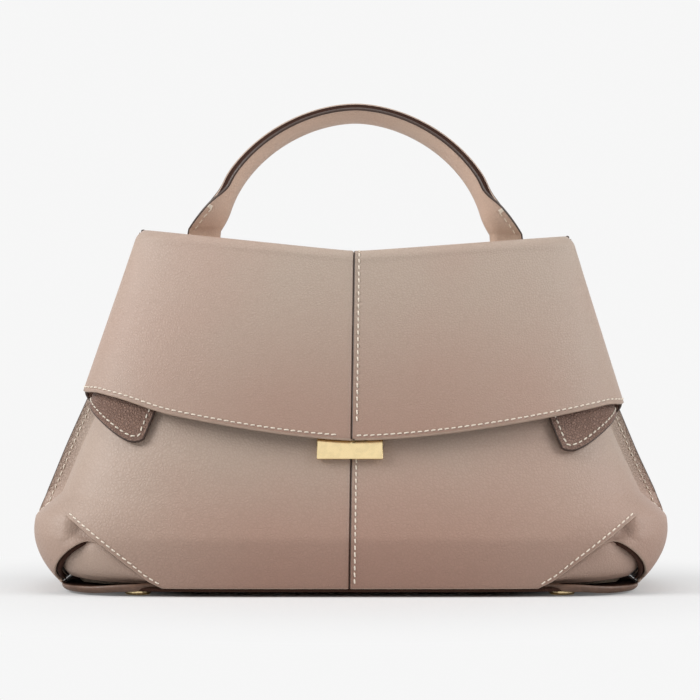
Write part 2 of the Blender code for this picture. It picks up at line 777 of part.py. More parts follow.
def drill(target, radius, centre, axis, reach):
    # Cuts a round hole of this reach each way along the axis, centred on a point.
    profile = [(-reach, radius), (reach, radius)]
    loops = turned(profile, centre, axis)
    mesh = mesh_from(lambda shape: add_loft(shape, loops, False), "drill")
    cutter = bpy.data.objects.new("drill", mesh)
    bpy.context.collection.objects.link(cutter)
    cutter.hide_render = True
    cutter.display_type = "WIRE"
    cut = target.modifiers.new("hole", "BOOLEAN")
    cut.operation = "DIFFERENCE"
    cut.solver = "EXACT"
    cut.object = cutter


def base_parts(skins):
    panel = plate("base_panel", BASE_UNDERSIDE, BASE_PANEL_THICK, BASE_PANEL_INSET, skins["edge"])
    board = plate("base_board", WALL_FOOT, BASE_BOARD_THICK, BASE_BOARD_INSET, skins["board"])
    up = Vector((0.0, 0.0, 1.0))
    stud_top = WASHER_UNDERSIDE + WASHER_THICK
    hole = FOOT_STUD_RADIUS + STUD_CLEARANCE
    profile = [
        (0.0, FOOT_RADIUS - FOOT_EDGE),
        (FOOT_EDGE, FOOT_RADIUS),
        (FOOT_HEIGHT - FOOT_EDGE, FOOT_RADIUS),
        (FOOT_HEIGHT, FOOT_RADIUS - FOOT_EDGE),
        (FOOT_HEIGHT, FOOT_STUD_RADIUS),
        (stud_top, FOOT_STUD_RADIUS),
    ]
    for fore, y in (("front", -FOOT_FORWARD), ("back", FOOT_FORWARD)):
        for hand, x in (("left", -FOOT_OUT), ("right", FOOT_OUT)):
            centre = Vector((x, y, 0.0))
            foot = loft(f"foot_{fore}_{hand}", turned(profile, Vector(), up), skins["gold"])
            foot.location = centre
            middle = Vector((x, y, WALL_FOOT))
            for target in (panel, board):
                drill(target, hole, middle, up, BASE_PANEL_THICK + BASE_BOARD_THICK + OVERRUN)
            rim = [
                (WASHER_UNDERSIDE, WASHER_RADIUS),
                (stud_top, WASHER_RADIUS),
                (stud_top, hole),
                (WASHER_UNDERSIDE, hole),
            ]
            washer = loft(f"washer_{fore}_{hand}", turned(rim, Vector(), up), skins["steel"], closed=True)
            washer.location = centre


def closure_magnet(skins):
    # Lies against the lap of the front panels, behind the clasp bar.
    depth = LEATHER + GAP + SKIVED + GAP
    height = EDGE_MID_HEIGHT - BAR_SHOWING + BAR_HEIGHT / 2
    face = body_point(False, 0.0, height, depth)
    back = body_point(False, 0.0, height, depth + MAGNET_THICK)
    profile = [(0.0, MAGNET_RADIUS), (MAGNET_THICK, MAGNET_RADIUS)]
    loops = turned(profile, face, (back - face).normalized())
    loft("closure_magnet", loops, skins["steel"])


def clasp(skins, pivot, parent, lined, stiffeners):
    # The bar hangs below the flap's edge in the plane of the fall, held by two rivets.
    edge = flap_surface(0.0, 3.0)
    down = (edge - flap_surface(0.0, 3.0 - SHARE_STEP)).normalized()
    outward = down.cross(Vector((1.0, 0.0, 0.0))).normalized()
    face_depth = FLAP_THICK + GAP
    centre = edge + down * (BAR_SHOWING - BAR_HEIGHT / 2) - outward * (face_depth + BAR_THICK / 2)
    turn = Matrix((Vector((1.0, 0.0, 0.0)), -outward, -down)).transposed().to_4x4()

    def build(shape):
        bmesh.ops.create_cube(shape, size=1.0)
        size = Matrix.Diagonal((BAR_WIDTH, BAR_THICK, BAR_HEIGHT, 1.0))
        bmesh.ops.transform(shape, matrix=turn @ size, verts=shape.verts)
        bmesh.ops.translate(shape, vec=centre, verts=shape.verts)

    bar = finish("clasp_bar", mesh_from(build, "clasp_bar"), skins["gold"], pivot, parent)
    bevel = bar.modifiers.new("edge", "BEVEL")
    bevel.width = BAR_BEVEL
    bevel.segments = 1
    head = CORE_DEPTH
    tip = face_depth + BAR_THICK - GAP
    profile = [
        (0.0, RIVET_HEAD_RADIUS),
        (FLAP_CORE, RIVET_HEAD_RADIUS),
        (FLAP_CORE, RIVET_SHANK_RADIUS),
        (tip - head, RIVET_SHANK_RADIUS),
    ]
    for side, hand in ((-1, "left"), (1, "right")):
        top = edge - down * RIVET_UP - outward * head + Vector((side * RIVET_OUT, 0.0, 0.0))
        loops = turned(profile, top, -outward)
        loft(f"clasp_rivet_{hand}", loops, skins["steel"], pivot=pivot, parent=parent)
        for target in (bar, lined):
            drill(target, RIVET_SHANK_RADIUS + RIVET_CLEARANCE, top, -outward, 2 * FLAP_THICK)
        drill(stiffeners[side], RIVET_HEAD_RADIUS + RIVET_CLEARANCE, top, -outward, 2 * FLAP_THICK)


def flap_parts(skins, pivot, parent):
    flap_half("flap_left", -1, True, skins["leather"], pivot, parent)
    flap_half("flap_right", 1, False, skins["leather"], pivot, parent)
    setback = flap_share(STIFFENER_SETBACK)
    shares = [s for s in toward_side(FLAP_COLUMNS) if s < 1.0 - setback] + [1.0 - setback]
    lined_shares = [s for s in shares if s < 1.0 - flap_share(LINER_SETBACK)]
    both = [-s for s in reversed(lined_shares[1:])] + lined_shares
    rows = flap_rows(*LINER_ROW_ENDS)
    lined = flap_patch("flap_lining", both, rows, LINER_DEPTH, FLAP_LINER, skins["lining"], pivot, parent)
    stiffeners = {}
    for side, label, start in ((-1, "left", STIFFENER_SETBACK), (1, "right", LAP_WIDTH + GAP)):
        run = [flap_share(start)] + [s for s in shares if s > flap_share(start)]
        run = [side * s for s in run]
        rows = flap_rows(*STIFFENER_ROW_ENDS)
        name = f"flap_stiffener_{label}"
        stiffeners[side] = flap_patch(name, run, rows, CORE_DEPTH, FLAP_CORE, skins["board"], pivot, parent)
        outs = [blend(ANCHOR_INNER_OUT, ANCHOR_OUTER_OUT, i / 4) for i in range(5)]
        ends = [side * flap_share(out, ridge_height(out)) for out in outs]
        name = f"handle_anchor_{label}"
        flap_patch(name, ends, ANCHOR_ROWS, CORE_DEPTH, FLAP_CORE, skins["steel"], pivot, parent)
    clasp(skins, pivot, parent, lined, stiffeners)


def handle_parts(skins, hinge):
    # The handle rocks about a line a little above the strip, round which its ends are rounded.
    reach = HANDLE_HALF_SPAN + HANDLE_FLARE + HANDLE_STRAP_HALF
    end = flap_share(reach, ridge_height(reach))
    strip = flap_surface(end, HANDLE_SEAT_SHARE).z
    pivot = Vector((0.0, 0.0, strip + GAP + HANDLE_PIVOT_RADIUS))
    rock = bpy.data.objects.new("handle_axis", None)
    rock.location = pivot - hinge.location
    rock.parent = hinge
    bpy.context.collection.objects.link(rock)
    near = 0.0
    layers = (
        ("handle_outer", HANDLE_LEATHER, skins["leather"]),
        ("handle_core", HANDLE_CORE, skins["board"]),
        ("handle_lining", HANDLE_LINER, skins["lining"]),
    )
    for name, thick, skin in layers:
        made = handle_layer(name, near, thick, skin, pivot, None)
        made.parent = rock
        made.location = Vector()
        near += thick + HANDLE_LAYER_GAP


def main():
    clear_scene()
    skins = {
        "leather": material("taupe_leather", (0.43, 0.31, 0.25), 0.5),
        "lining": material("brown_lining", (0.16, 0.10, 0.07), 0.75),
        "edge": material("painted_edge", (0.06, 0.03, 0.02), 0.4),
        "board": material("stiff_board", (0.45, 0.38, 0.3), 0.9),
        "gold": material("pale_gold", (0.9, 0.7, 0.38), 0.2, 1.0),
        "steel": material("plain_steel", (0.6, 0.6, 0.6), 0.3, 1.0),
    }
    for back, fore in ((False, "front"), (True, "back")):
        wall_panel(f"{fore}_panel_left", back, -1, True, skins["leather"])
        wall_panel(f"{fore}_panel_right", back, 1, False, skins["leather"])
        for side, hand in ((-1, "left"), (1, "right")):
            corner_gore(f"corner_gore_{fore}_{hand}", back, side, skins["leather"])
    for side, hand in ((-1, "left"), (1, "right")):
        side_wrap(f"side_wrap_{hand}", side, skins["leather"])
    base_parts(skins)
    lining(skins["lining"])
    mouth_facing(skins["leather"])
    slip_pocket(skins["lining"])
    rear_yoke(skins["leather"])
    closure_magnet(skins)
    hinge = bpy.data.objects.new("flap_axis", None)
    hinge.location = Vector((0.0, HINGE_BACK, HINGE_HEIGHT))
    bpy.context.collection.objects.link(hinge)
    flap_parts(skins, hinge.location.copy(), hinge)
    handle_parts(skins, hinge)


main()
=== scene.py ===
import math

import bpy
import numpy as np
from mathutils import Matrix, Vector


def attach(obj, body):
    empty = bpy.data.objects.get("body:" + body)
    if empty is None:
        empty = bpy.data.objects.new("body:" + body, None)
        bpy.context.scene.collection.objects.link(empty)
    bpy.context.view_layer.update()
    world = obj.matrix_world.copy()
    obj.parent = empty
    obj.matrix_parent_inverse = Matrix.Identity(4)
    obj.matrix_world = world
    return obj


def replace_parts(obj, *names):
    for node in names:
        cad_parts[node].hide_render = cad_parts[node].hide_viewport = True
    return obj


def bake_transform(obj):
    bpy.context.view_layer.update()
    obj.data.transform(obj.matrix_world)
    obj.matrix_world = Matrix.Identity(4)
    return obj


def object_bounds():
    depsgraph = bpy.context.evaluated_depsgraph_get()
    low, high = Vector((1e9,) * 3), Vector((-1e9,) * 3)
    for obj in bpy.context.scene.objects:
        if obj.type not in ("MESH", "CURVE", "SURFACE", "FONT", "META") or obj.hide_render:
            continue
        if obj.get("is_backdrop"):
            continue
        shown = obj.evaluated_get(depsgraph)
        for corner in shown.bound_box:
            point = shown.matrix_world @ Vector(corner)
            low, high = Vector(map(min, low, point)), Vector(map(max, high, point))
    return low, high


# Top handle bag in soft taupe leather. Lengths are in metres, the front faces -Y and Z is up.
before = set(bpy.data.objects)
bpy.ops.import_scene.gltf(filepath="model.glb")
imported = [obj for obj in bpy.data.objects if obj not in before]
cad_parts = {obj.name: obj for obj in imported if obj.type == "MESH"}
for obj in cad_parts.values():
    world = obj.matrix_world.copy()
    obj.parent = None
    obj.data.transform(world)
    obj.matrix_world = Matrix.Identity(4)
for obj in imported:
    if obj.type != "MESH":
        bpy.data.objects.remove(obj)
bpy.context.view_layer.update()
print("frame loaded with", len(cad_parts), "nodes")

# Camera: level, straight in front, a little below the middle of the bag
eye = {"distance": 1.5, "height": 0.1277, "lens": 142.8, "sensor": 36.0}
camera = bpy.data.objects.new("camera", bpy.data.cameras.new("camera"))
bpy.context.scene.collection.objects.link(camera)
camera.data.sensor_width = eye["sensor"]
camera.data.lens = eye["lens"]
camera.location = (0.0, -eye["distance"], eye["height"])
camera.rotation_euler = (math.pi / 2, 0.0, 0.0)
bpy.context.scene.camera = camera
bpy.context.scene.view_settings.view_transform = "Standard"


# Small helpers on whole arrays
def mix(low, high, share):
    return low + (high - low) * share


def ramp(value, start, end):
    return np.clip((value - start) / (end - start), 0.0, 1.0)


def ease(value, start, end):
    share = ramp(value, start, end)
    return share * share * (3 - 2 * share)


def unit(vectors):
    return vectors / np.maximum(np.linalg.norm(vectors, axis=-1, keepdims=True), 1e-12)


def evenly(count):
    # Shares from none to the whole.
    return np.linspace(0, 1, count)


def mirrored(rows, side):
    # Points, or points with their normals, of the right half, moved to this side.
    return rows * np.tile([side, 1.0, 1.0], rows.shape[-1] // 3)


def surfaceNormals(surface, u, z, step=0.0006):
    # Cross product of small steps along u, which stays inside its range, and along z, made unit long.
    across = surface(np.minimum(u + step, 1.0), z) - surface(np.maximum(u - step, -1.0), z)
    return unit(np.cross(across, surface(u, z + step) - surface(u, z - step)))


def gridNormals(grid, sign):
    # Cross product of the steps along the columns and along the rows, turned outwards by the sign.
    return unit(np.cross(np.gradient(grid, axis=0), np.gradient(grid, axis=1))) * sign


# Lean: soft leather stands a little askew, its upper part turned about Y and drawn to one side
lean = {"turn": 0.0148, "settles": (0.048, 0.080)}


def leaned(points):
    # x grows with the height, and above the settled foot z falls with x by the same small angle.
    x, y, z = points[..., 0], points[..., 1], points[..., 2]
    low = z - lean["turn"] * x * ease(z, *lean["settles"])
    return np.stack([x + lean["turn"] * z, y, low], axis=-1)


# Level outline of the body and of the flap
def outline(u, width, depth, power):
    # Superellipse in closed form: x = W sin t / q, y = D cos t / q, q = (sin^p + cos^p)^(1/p),
    # where t runs from 0 in the middle to a quarter turn at the side.
    turn = np.abs(u) * math.pi / 2
    sine, cosine = np.sin(turn), np.maximum(np.cos(turn), 0.0)
    mean = (sine**power + cosine**power) ** (1 / power)
    return np.sign(u) * width * sine / mean, depth * cosine / mean


def outlinePlace(x, width, power):
    # The outline's parameter at which it lies this far out, the inverse of the formula above.
    share = np.minimum(np.abs(x) / width, 0.999999) ** power
    return np.sign(x) * np.arctan((share / (1 - share)) ** (1 / power)) / (math.pi / 2)


body = {
    "leather": 0.0018, "foot": 0.0046, "outlineTop": 0.1815, "backTop": 0.1770, "sideTop": 0.1760,
    "frontTop": 0.1735, "topHalf": 0.1070, "kneeHeight": 0.0440, "kneeHalf": 0.1670, "tuckHeight": 0.0460,
    "tuck": 0.0374, "bellyHeight": 0.0300, "bellyDepth": 0.0700, "bellyTuck": 0.0040, "frontTopDepth": 0.0280,
    "backTopDepth": 0.0160, "baseSquare": 4.6, "frontTopSquare": 2.2, "backTopSquare": 4.0,
    "fin": 0.0090, "finFoot": 0.0402, "finRun": 0.0120, "finHalf": 0.00195, "finRoot": 0.0060,
    "finColumns": 0.08, "finSoft": 2.6,
}


def slantHalf(z):
    # Half width: a straight slant from the knee to the top.
    rise = (z - body["kneeHeight"]) / (body["outlineTop"] - body["kneeHeight"])
    return mix(body["kneeHalf"], body["topHalf"], rise)


def bodyHalf(z):
    # The slant, less a tuck that grows with the square of the way down from the tuck's height.
    return slantHalf(z) - body["tuck"] * ramp(z, body["tuckHeight"], 0.0) ** 2


def bodyDepth(back, z):
    # Straight from the belly to the top, and below the belly a tuck that grows with the square.
    top = body["backTopDepth"] if back else body["frontTopDepth"]
    rise = np.maximum(z - body["bellyHeight"], 0.0) / (body["outlineTop"] - body["bellyHeight"])
    return mix(body["bellyDepth"], top, rise) - body["bellyTuck"] * ramp(z, body["bellyHeight"], 0.0) ** 2


def bodySquare(back, z):
    # Power of the level outline: nearly square at the foot, and falling evenly to the mouth.
    top = body["backTopSquare"] if back else body["frontTopSquare"]
    return mix(body["baseSquare"], top, ramp(z, 0.0, body["outlineTop"]))


def finLength(z):
    # The fin along the side grows evenly out of nothing above its foot.
    return body["fin"] * ramp(z, body["finFoot"], body["finFoot"] + body["finRun"])


def bodySurface(back, u, z):
    # The outline up to the fin, then straight out. The fin is a wedge, thickest at its root, and y
    # is a soft maximum of the outline and of half the fin.
    u, z = np.broadcast_arrays(u, z)
    fin = finLength(z)
    finStart = 1 - body["finColumns"] * fin / body["fin"]
    inside = np.clip(u / finStart, -1.0, 1.0)
    x, y = outline(inside, bodyHalf(z) - fin, bodyDepth(back, z), bodySquare(back, z))
    beyond = np.maximum(np.abs(u) - finStart, 0.0) * body["fin"] / body["finColumns"]
    wedge = np.maximum(1 - beyond / body["fin"], 0.0) ** 2 * fin / body["fin"]
    half = body["finHalf"] + body["finRoot"] * wedge
    y = (y ** body["finSoft"] + half ** body["finSoft"]) ** (1 / body["finSoft"])
    return np.stack([x + np.sign(u) * beyond, y if back else -y, z], axis=-1)


def bodyNormals(back, u, z):
    # Outward on the front, and turned about for the back.
    return surfaceNormals(lambda u, z: bodySurface(back, u, z), u, z) * (-1 if back else 1)


def bodyPoint(back, u, z, depth):
    # A point that lies this deep under the body's outer face.
    return bodySurface(back, u, z) - bodyNormals(back, u, z) * np.expand_dims(depth + 0 * (u + z), -1)


def bodyPlace(back, x, z):
    # The surface's parameter at which it lies this far out, up to the root of the fin.
    fin = finLength(z)
    share = 1 - body["finColumns"] * fin / body["fin"]
    return outlinePlace(x, bodyHalf(z) - fin, bodySquare(back, z)) * share


def insetSurface(back, u, z, inset):
    # The outline without its fin, drawn in by the inset.
    width = bodyHalf(z) - finLength(z) - inset
    x, y = outline(u, width, bodyDepth(back, z) - inset, bodySquare(back, z))
    z = z + 0 * x
    return np.stack([x, y if back else -y, z], axis=-1)


def wallTop(back, u):
    # Mouth: from the height in the middle to that at the side with the square of the parameter.
    return mix(body["backTop"] if back else body["frontTop"], body["sideTop"], u * u)


cut = {
    "footOut": 0.0996, "tipOut": 0.1492, "tipHeight": 0.0423, "tuck": 0.0080, "sink": 0.0044,
    "edgeFoot": 0.1530, "edgeWide": 0.1562, "edgeWideHeight": 0.0090, "edgeCut": 0.1368,
    "edgeCutHeight": 0.0306, "edgeCurve": 2.1, "lipShare": 0.12, "sinkReach": 0.0160, "flush": -0.0004,
    "sinkRun": (1.0, 0.55), "tuckRun": (0.66, 0.42), "shy": -0.0002, "rows": 30, "columns": 24,
    "guess": 0.02, "cutRounds": 12, "wrapRounds": 14,
}


def cutHeight(back, u):
    # Lower edge of a panel: level, then a straight slanting cut up to its tip. Solved by repeating.
    height = body["foot"] + 0 * u
    for _ in range(cut["cutRounds"]):
        out = np.abs(bodySurface(back, u, height)[..., 0])
        height = mix(body["foot"], cut["tipHeight"], ramp(out, cut["footOut"], cut["tipOut"]))
    return height


def wrapEdgeOut(z):
    # Free edge of a wrap: bulges out low down, and runs in under the cut above.
    low = mix(cut["edgeWide"], cut["edgeFoot"], ramp(z, cut["edgeWideHeight"], body["foot"]) ** 2)
    share = np.maximum(z - cut["edgeWideHeight"], 0.0) / (cut["edgeCutHeight"] - cut["edgeWideHeight"])
    high = mix(cut["edgeWide"], cut["edgeCut"], share ** cut["edgeCurve"])
    return np.where(z < cut["edgeWideHeight"], low, high)


def wrapSink(back, u, z):
    # How deep a wrap lies: it sinks as it comes near the edge of the cut above it.
    return cut["sink"] * ease(z - cutHeight(back, u), -cut["sinkReach"], cut["flush"])


# Shader maths: a wire is one output of a node, and sums and products of wires add nodes
class Wire:
    def __init__(self, book, socket):
        self.book, self.socket = book, socket

    def __add__(self, other):
        return self.book.maths("ADD", self, other)

    def __sub__(self, other):
        return self.book.maths("SUBTRACT", self, other)

    def __rsub__(self, other):
        return self.book.maths("SUBTRACT", other, self)

    def __mul__(self, other):
        return self.book.maths("MULTIPLY", self, other)

    __radd__ = __add__
    __rmul__ = __mul__


class Finish:
    # The node tree of one material, or of the world, and the nodes added to it.
    def __init__(self, owner):
        self.owner = owner
        owner.use_nodes = True
        self.tree = owner.node_tree
        self.shader = self.tree.nodes.get("Principled BSDF")

    def add(self, kind, settings, sockets, output=0):
        made = self.tree.nodes.new(kind)
        for key, value in settings.items():
            setattr(made, key, value)
        for key, value in sockets.items():
            if isinstance(value, Wire):
                self.tree.links.new(value.socket, made.inputs[key])
            else:
                made.inputs[key].default_value = value
        return Wire(self, made.outputs[output])

    def maths(self, operation, first, second):
        return self.add("ShaderNodeMath", {"operation": operation}, {0: first, 1: second})

    def step(self, value, start, end, low=0.0, high=1.0):
        sockets = {"Value": value, "From Min": start, "From Max": end, "To Min": low, "To Max": high}
        return self.add("ShaderNodeMapRange", {"interpolation_type": "SMOOTHSTEP"}, sockets)

    def blendColours(self, share, first, second):
        sockets = {0: share}
        for key, colour in ((6, first), (7, second)):
            sockets[key] = colour if isinstance(colour, Wire) else (*colour, 1.0)
        return self.add("ShaderNodeMix", {"data_type": "RGBA"}, sockets, 2)

    def attribute(self, name):
        return self.add("ShaderNodeAttribute", {"attribute_name": name}, {}, 2)

    def coordinates(self):
        return self.add("ShaderNodeTexCoord", {}, {}, 3)

    def noise(self, where, scale, detail=2.0):
        return self.add("ShaderNodeTexNoise", {}, {"Vector": where, "Scale": scale, "Detail": detail})

    def cells(self, where, scale, feature="DISTANCE_TO_EDGE"):
        return self.add("ShaderNodeTexVoronoi", {"feature": feature}, {"Vector": where, "Scale": scale})

    def bump(self, height):
        return self.add("ShaderNodeBump", {}, {"Height": height, "Distance": 1.0, "Strength": 1.0})

    def set(self, **values):
        for key, value in values.items():
            socket = self.shader.inputs[key.replace("_", " ")]
            if isinstance(value, Wire):
                self.tree.links.new(value.socket, socket)
            else:
                socket.default_value = value
        return self.owner


# Between these values a noise goes from the one look of a finish to the other
noiseRun = (0.3, 0.7)
# Sizes of the finer marks as shares of the grain, and how far each mark reaches and weighs
hide = {
    "wander": 2.2, "wrinkles": 0.48, "pores": 0.22, "driftDetail": 3.0, "driftRun": (0.35, 0.68),
    "creaseRun": (0.0, 0.16), "pebbleRun": (0.0, 0.30), "wrinkleRun": (0.0, 0.35),
    "wrinkleShare": 0.35, "poreShare": 0.25, "smoother": 0.04, "rougher": 0.05, "creaseRough": 0.06,
}


def leatherFinish(name, look):
    # Pebbled hide: cells with soft creases, finer wrinkles in them, slow drifts of colour, painted shade
    # that darkens and reddens it towards the bottom but less far out at the sides, painted shade in the
    # creases, the pebbled band and the stitch grooves, darker burnished edges, and a groove where the
    # stitches pull the leather down.
    made = Finish(bpy.data.materials.new(name))
    where = made.coordinates()
    drift = made.noise(where, look["driftScale"], hide["driftDetail"])
    wander = made.noise(where, 1 / (look["grain"] * hide["wander"]))
    pebbles = made.cells(where, 1 / look["grain"])
    wrinkles = made.cells(where, 1 / (look["grain"] * hide["wrinkles"]))
    pores = made.noise(where, 1 / (look["grain"] * hide["pores"]))
    edge = made.attribute("edge")
    seam = made.attribute("seam")
    crease = made.step(pebbles, *hide["creaseRun"], 1.0, 0.0)
    colour = made.blendColours(made.step(drift, *hide["driftRun"]), look["base"], look["tint"])
    # Painted shade: towards the bottom the colour darkens and reddens, and far out at the sides less of it is
    # kept.
    aside = made.maths("ABSOLUTE", made.add("ShaderNodeSeparateXYZ", {}, {0: where}, 0), 0.0)
    height = made.add("ShaderNodeSeparateXYZ", {}, {0: where}, 2)
    deep = made.step(height, *look["paintedShadeRun"])
    deep = deep * made.step(aside, *look["paintedShadeSideRun"], 1.0, look["paintedShadeAtSides"])
    colour = made.blendColours(deep * look["lowShade"], colour, look["low"])
    # Painted shade in the creases between pebbles, stronger in the pebbled band, where the whole colour is
    # darkened as painted shade too.
    grainy = made.step(edge, look["pebbleWidth"] / 2, look["pebbleWidth"], 1.0, 0.0) * made.attribute("tone")
    creased = crease * look["creaseShade"]
    creased = creased + crease * grainy * (look["pebbleShade"] - look["creaseShade"])
    # Painted shade in the stitch groove; the edges are burnished darker.
    groove = made.step(seam, 0.0, look["grooveWidth"], 1.0, 0.0)
    burnished = made.step(edge, 0.0, look["burnishWidth"], look["burnish"], 0.0)
    for share in (creased + grainy * look["grainyShade"], burnished, groove * look["grooveShade"]):
        colour = made.blendColours(share, colour, look["dark"])
    grainHere = grainy * (look["pebbleDepth"] - look["depth"]) + look["depth"]
    relief = made.step(pebbles, *hide["pebbleRun"])
    relief = relief + made.step(wrinkles, *hide["wrinkleRun"]) * hide["wrinkleShare"]
    relief = (relief + pores * hide["poreShare"]) * grainHere
    relief = relief + wander * look["swell"] - groove * look["grooveDepth"]
    matt = made.step(pores, *noiseRun, look["rough"] - hide["smoother"], look["rough"] + hide["rougher"])
    return made.set(Base_Color=colour, Roughness=matt + crease * hide["creaseRough"],
                    Normal=made.bump(relief), Specular_IOR_Level=look["shine"])


def dyed(name, base, tint, dark, **changes):
    # Another leather: the taupe one in other colours and with these values changed.
    return leatherFinish(name, {**taupe, "base": base, "tint": tint, "dark": dark, **changes})


taupe = {
    "shine": 0.5, "grainyShade": 0.0,
    "base": (0.480, 0.382, 0.312), "tint": (0.480, 0.350, 0.284), "dark": (0.200, 0.120, 0.085),
    # Painted shade: low is the colour it darkens to towards the bottom, with the heights where it starts and is
    # full, how strong it is, and how much of it is kept far out at the sides.
    "low": (0.330, 0.178, 0.130), "paintedShadeRun": (0.185, 0.070), "lowShade": 0.70,
    "paintedShadeSideRun": (0.03, 0.15), "paintedShadeAtSides": 0.42, "pebbleShade": 0.14,
    "driftScale": 9.0, "grain": 0.0014, "depth": 0.00009, "pebbleDepth": 0.00009, "pebbleWidth": 0.010,
    "swell": 0.00005, "rough": 0.47, "creaseShade": 0.14, "burnish": 0.16, "burnishWidth": 0.0022,
    "grooveWidth": 0.0011, "grooveDepth": 0.00028, "grooveShade": 0.10,
}
finishes = {
    "taupe": leatherFinish("taupe_leather", taupe),
    # Sides: coarser pebbles, stronger painted shade low down and far out at the sides, and painted shade over the
    # pebbled band by the fin.
    "sides": leatherFinish("taupe_leather_pebbled_sides", {
        **taupe, "grain": 0.0018, "pebbleDepth": 0.00032, "pebbleShade": 0.30, "pebbleWidth": 0.0135,
        "paintedShadeRun": (0.105, 0.0), "lowShade": 0.85, "paintedShadeAtSides": 0.60, "grainyShade": 0.14,
    }),
    "lining": dyed(
        "brown_lining_leather", (0.150, 0.086, 0.060), (0.185, 0.110, 0.080), (0.050, 0.026, 0.016),
        lowShade=0.0, grain=0.0011, depth=0.00026, pebbleDepth=0.00026, rough=0.58,
        creaseShade=0.40, pebbleShade=0.40,
    ),
    "fold": dyed(
        "brown_fold_leather", (0.280, 0.160, 0.114), (0.310, 0.190, 0.148), (0.070, 0.036, 0.024),
        lowShade=0.0, grain=0.0015, depth=0.00050, pebbleDepth=0.00050, rough=0.50,
        creaseShade=0.50, pebbleShade=0.50,
    ),
    # The handle's leather is the taupe made lighter, painted light for the strap's face, which turns down away
    # from the lamps.
    "handle": dyed(
        "taupe_handle_leather_painted_light", (0.640, 0.500, 0.395), (0.650, 0.465, 0.365), (0.300, 0.180, 0.128)
    ),
    # Near-black leather for the handle's channel, the corner welts and the base: a dark brown darkened further as
    # painted shade of these hollows and undersides.
    "channel": dyed(
        "dark_brown_leather_and_painted_shade", (0.048, 0.020, 0.013), (0.062, 0.028, 0.019), (0.020, 0.009, 0.006),
        lowShade=0.0, grain=0.0012, depth=0.00016, pebbleDepth=0.00016, rough=0.78,
        creaseShade=0.30, pebbleShade=0.30, shine=0.12,
    ),
}


paint = {"patches": 220.0, "ripples": 900.0, "detail": 3.0, "paleShade": 0.86, "deepShade": 0.70,
         "smoother": 0.05, "rougher": 0.08, "rippleDepth": 0.00010, "patchDepth": 0.00012}


def shaded(colour, share):
    # The colour, darkened to this share of its light.
    return tuple(part * share for part in colour)


def paintFinish(name, light, dark, rough):
    # Painted leather edge: a slightly uneven, satin coat, taupe or brown by the tone attribute.
    made = Finish(bpy.data.materials.new(name))
    where = made.coordinates()
    patches = made.noise(where, paint["patches"], paint["detail"])
    ripple = made.noise(where, paint["ripples"])
    share = made.step(patches, *noiseRun)
    pale = made.blendColours(share, light, shaded(light, paint["paleShade"]))
    deep = made.blendColours(share, dark, shaded(dark, paint["deepShade"]))
    return made.set(
        Base_Color=made.blendColours(made.attribute("tone"), pale, deep),
        Roughness=made.step(ripple, *noiseRun, rough - paint["smoother"], rough + paint["rougher"]),
        Normal=made.bump(ripple * paint["rippleDepth"] + patches * paint["patchDepth"]),
    )


finishes["paint"] = paintFinish("painted_edge", (0.470, 0.345, 0.270), (0.050, 0.024, 0.015), 0.42)
finishes["welt"] = paintFinish("brown_welt", (0.150, 0.080, 0.050), (0.150, 0.080, 0.050), 0.45)


thread = {"fibre": 2600.0, "twist": 900.0, "detail": 3.0, "light": (0.92, 0.84, 0.73),
          "dark": (0.80, 0.70, 0.58), "rough": (0.55, 0.7), "twistDepth": 0.00005, "fibreDepth": 0.00004}
plate = {"stretch": (40.0, 900.0, 900.0), "detail": 3.0, "marks": 300.0, "marksDetail": 4.0,
         "markRun": (0.4, 0.7), "markShade": 0.93, "uneven": 0.04, "scuffRun": (0.55, 0.75), "scuff": 0.04,
         "depth": 0.000002}
board = {"flecks": 700.0, "tooth": 120.0, "detail": 4.0, "fleckRun": (0.2, 0.6), "light": (0.42, 0.34, 0.26),
         "dark": (0.34, 0.27, 0.20), "rough": (0.8, 0.95), "toothDepth": 0.00025, "fleckDepth": 0.0001}


def threadFinish():
    # Waxed linen thread: two plies twisted together show as fine slanting ridges.
    made = Finish(bpy.data.materials.new("linen_thread"))
    where = made.coordinates()
    fibre = made.noise(where, thread["fibre"], thread["detail"])
    twist = {"Vector": where, "Scale": thread["twist"]}
    twist = made.add("ShaderNodeTexWave", {"bands_direction": "DIAGONAL"}, twist)
    return made.set(
        Base_Color=made.blendColours(fibre, thread["light"], thread["dark"]),
        Roughness=made.step(fibre, *noiseRun, *thread["rough"]),
        Normal=made.bump(twist * thread["twistDepth"] + fibre * thread["fibreDepth"]),
    )


def metalFinish(name, colour, rough):
    # Plated metal: polished, with faint brushed lines and tiny marks.
    made = Finish(bpy.data.materials.new(name))
    where = made.coordinates()
    stretched = made.add("ShaderNodeMapping", {}, {"Vector": where, "Scale": plate["stretch"]})
    lines = made.noise(stretched, 1.0, plate["detail"])
    marks = made.noise(where, plate["marks"], plate["marksDetail"])
    tone = made.blendColours(made.step(marks, *plate["markRun"]), colour, shaded(colour, plate["markShade"]))
    brushed = made.step(lines, *noiseRun, rough - plate["uneven"], rough + plate["uneven"])
    scuffed = made.step(marks, *plate["scuffRun"]) * plate["scuff"]
    return made.set(Base_Color=tone, Metallic=1.0, Roughness=brushed + scuffed,
                    Normal=made.bump(lines * plate["depth"]))


def boardFinish():
    # Pressed fibre board: flecks and a coarse tooth.
    made = Finish(bpy.data.materials.new("pressed_board"))
    where = made.coordinates()
    flecks = made.cells(where, board["flecks"], "F1")
    cloud = made.noise(where, board["tooth"], board["detail"])
    return made.set(
        Base_Color=made.blendColours(made.step(flecks, *board["fleckRun"]), board["light"], board["dark"]),
        Roughness=made.step(cloud, *noiseRun, *board["rough"]),
        Normal=made.bump(cloud * board["toothDepth"] + flecks * board["fleckDepth"]),
    )


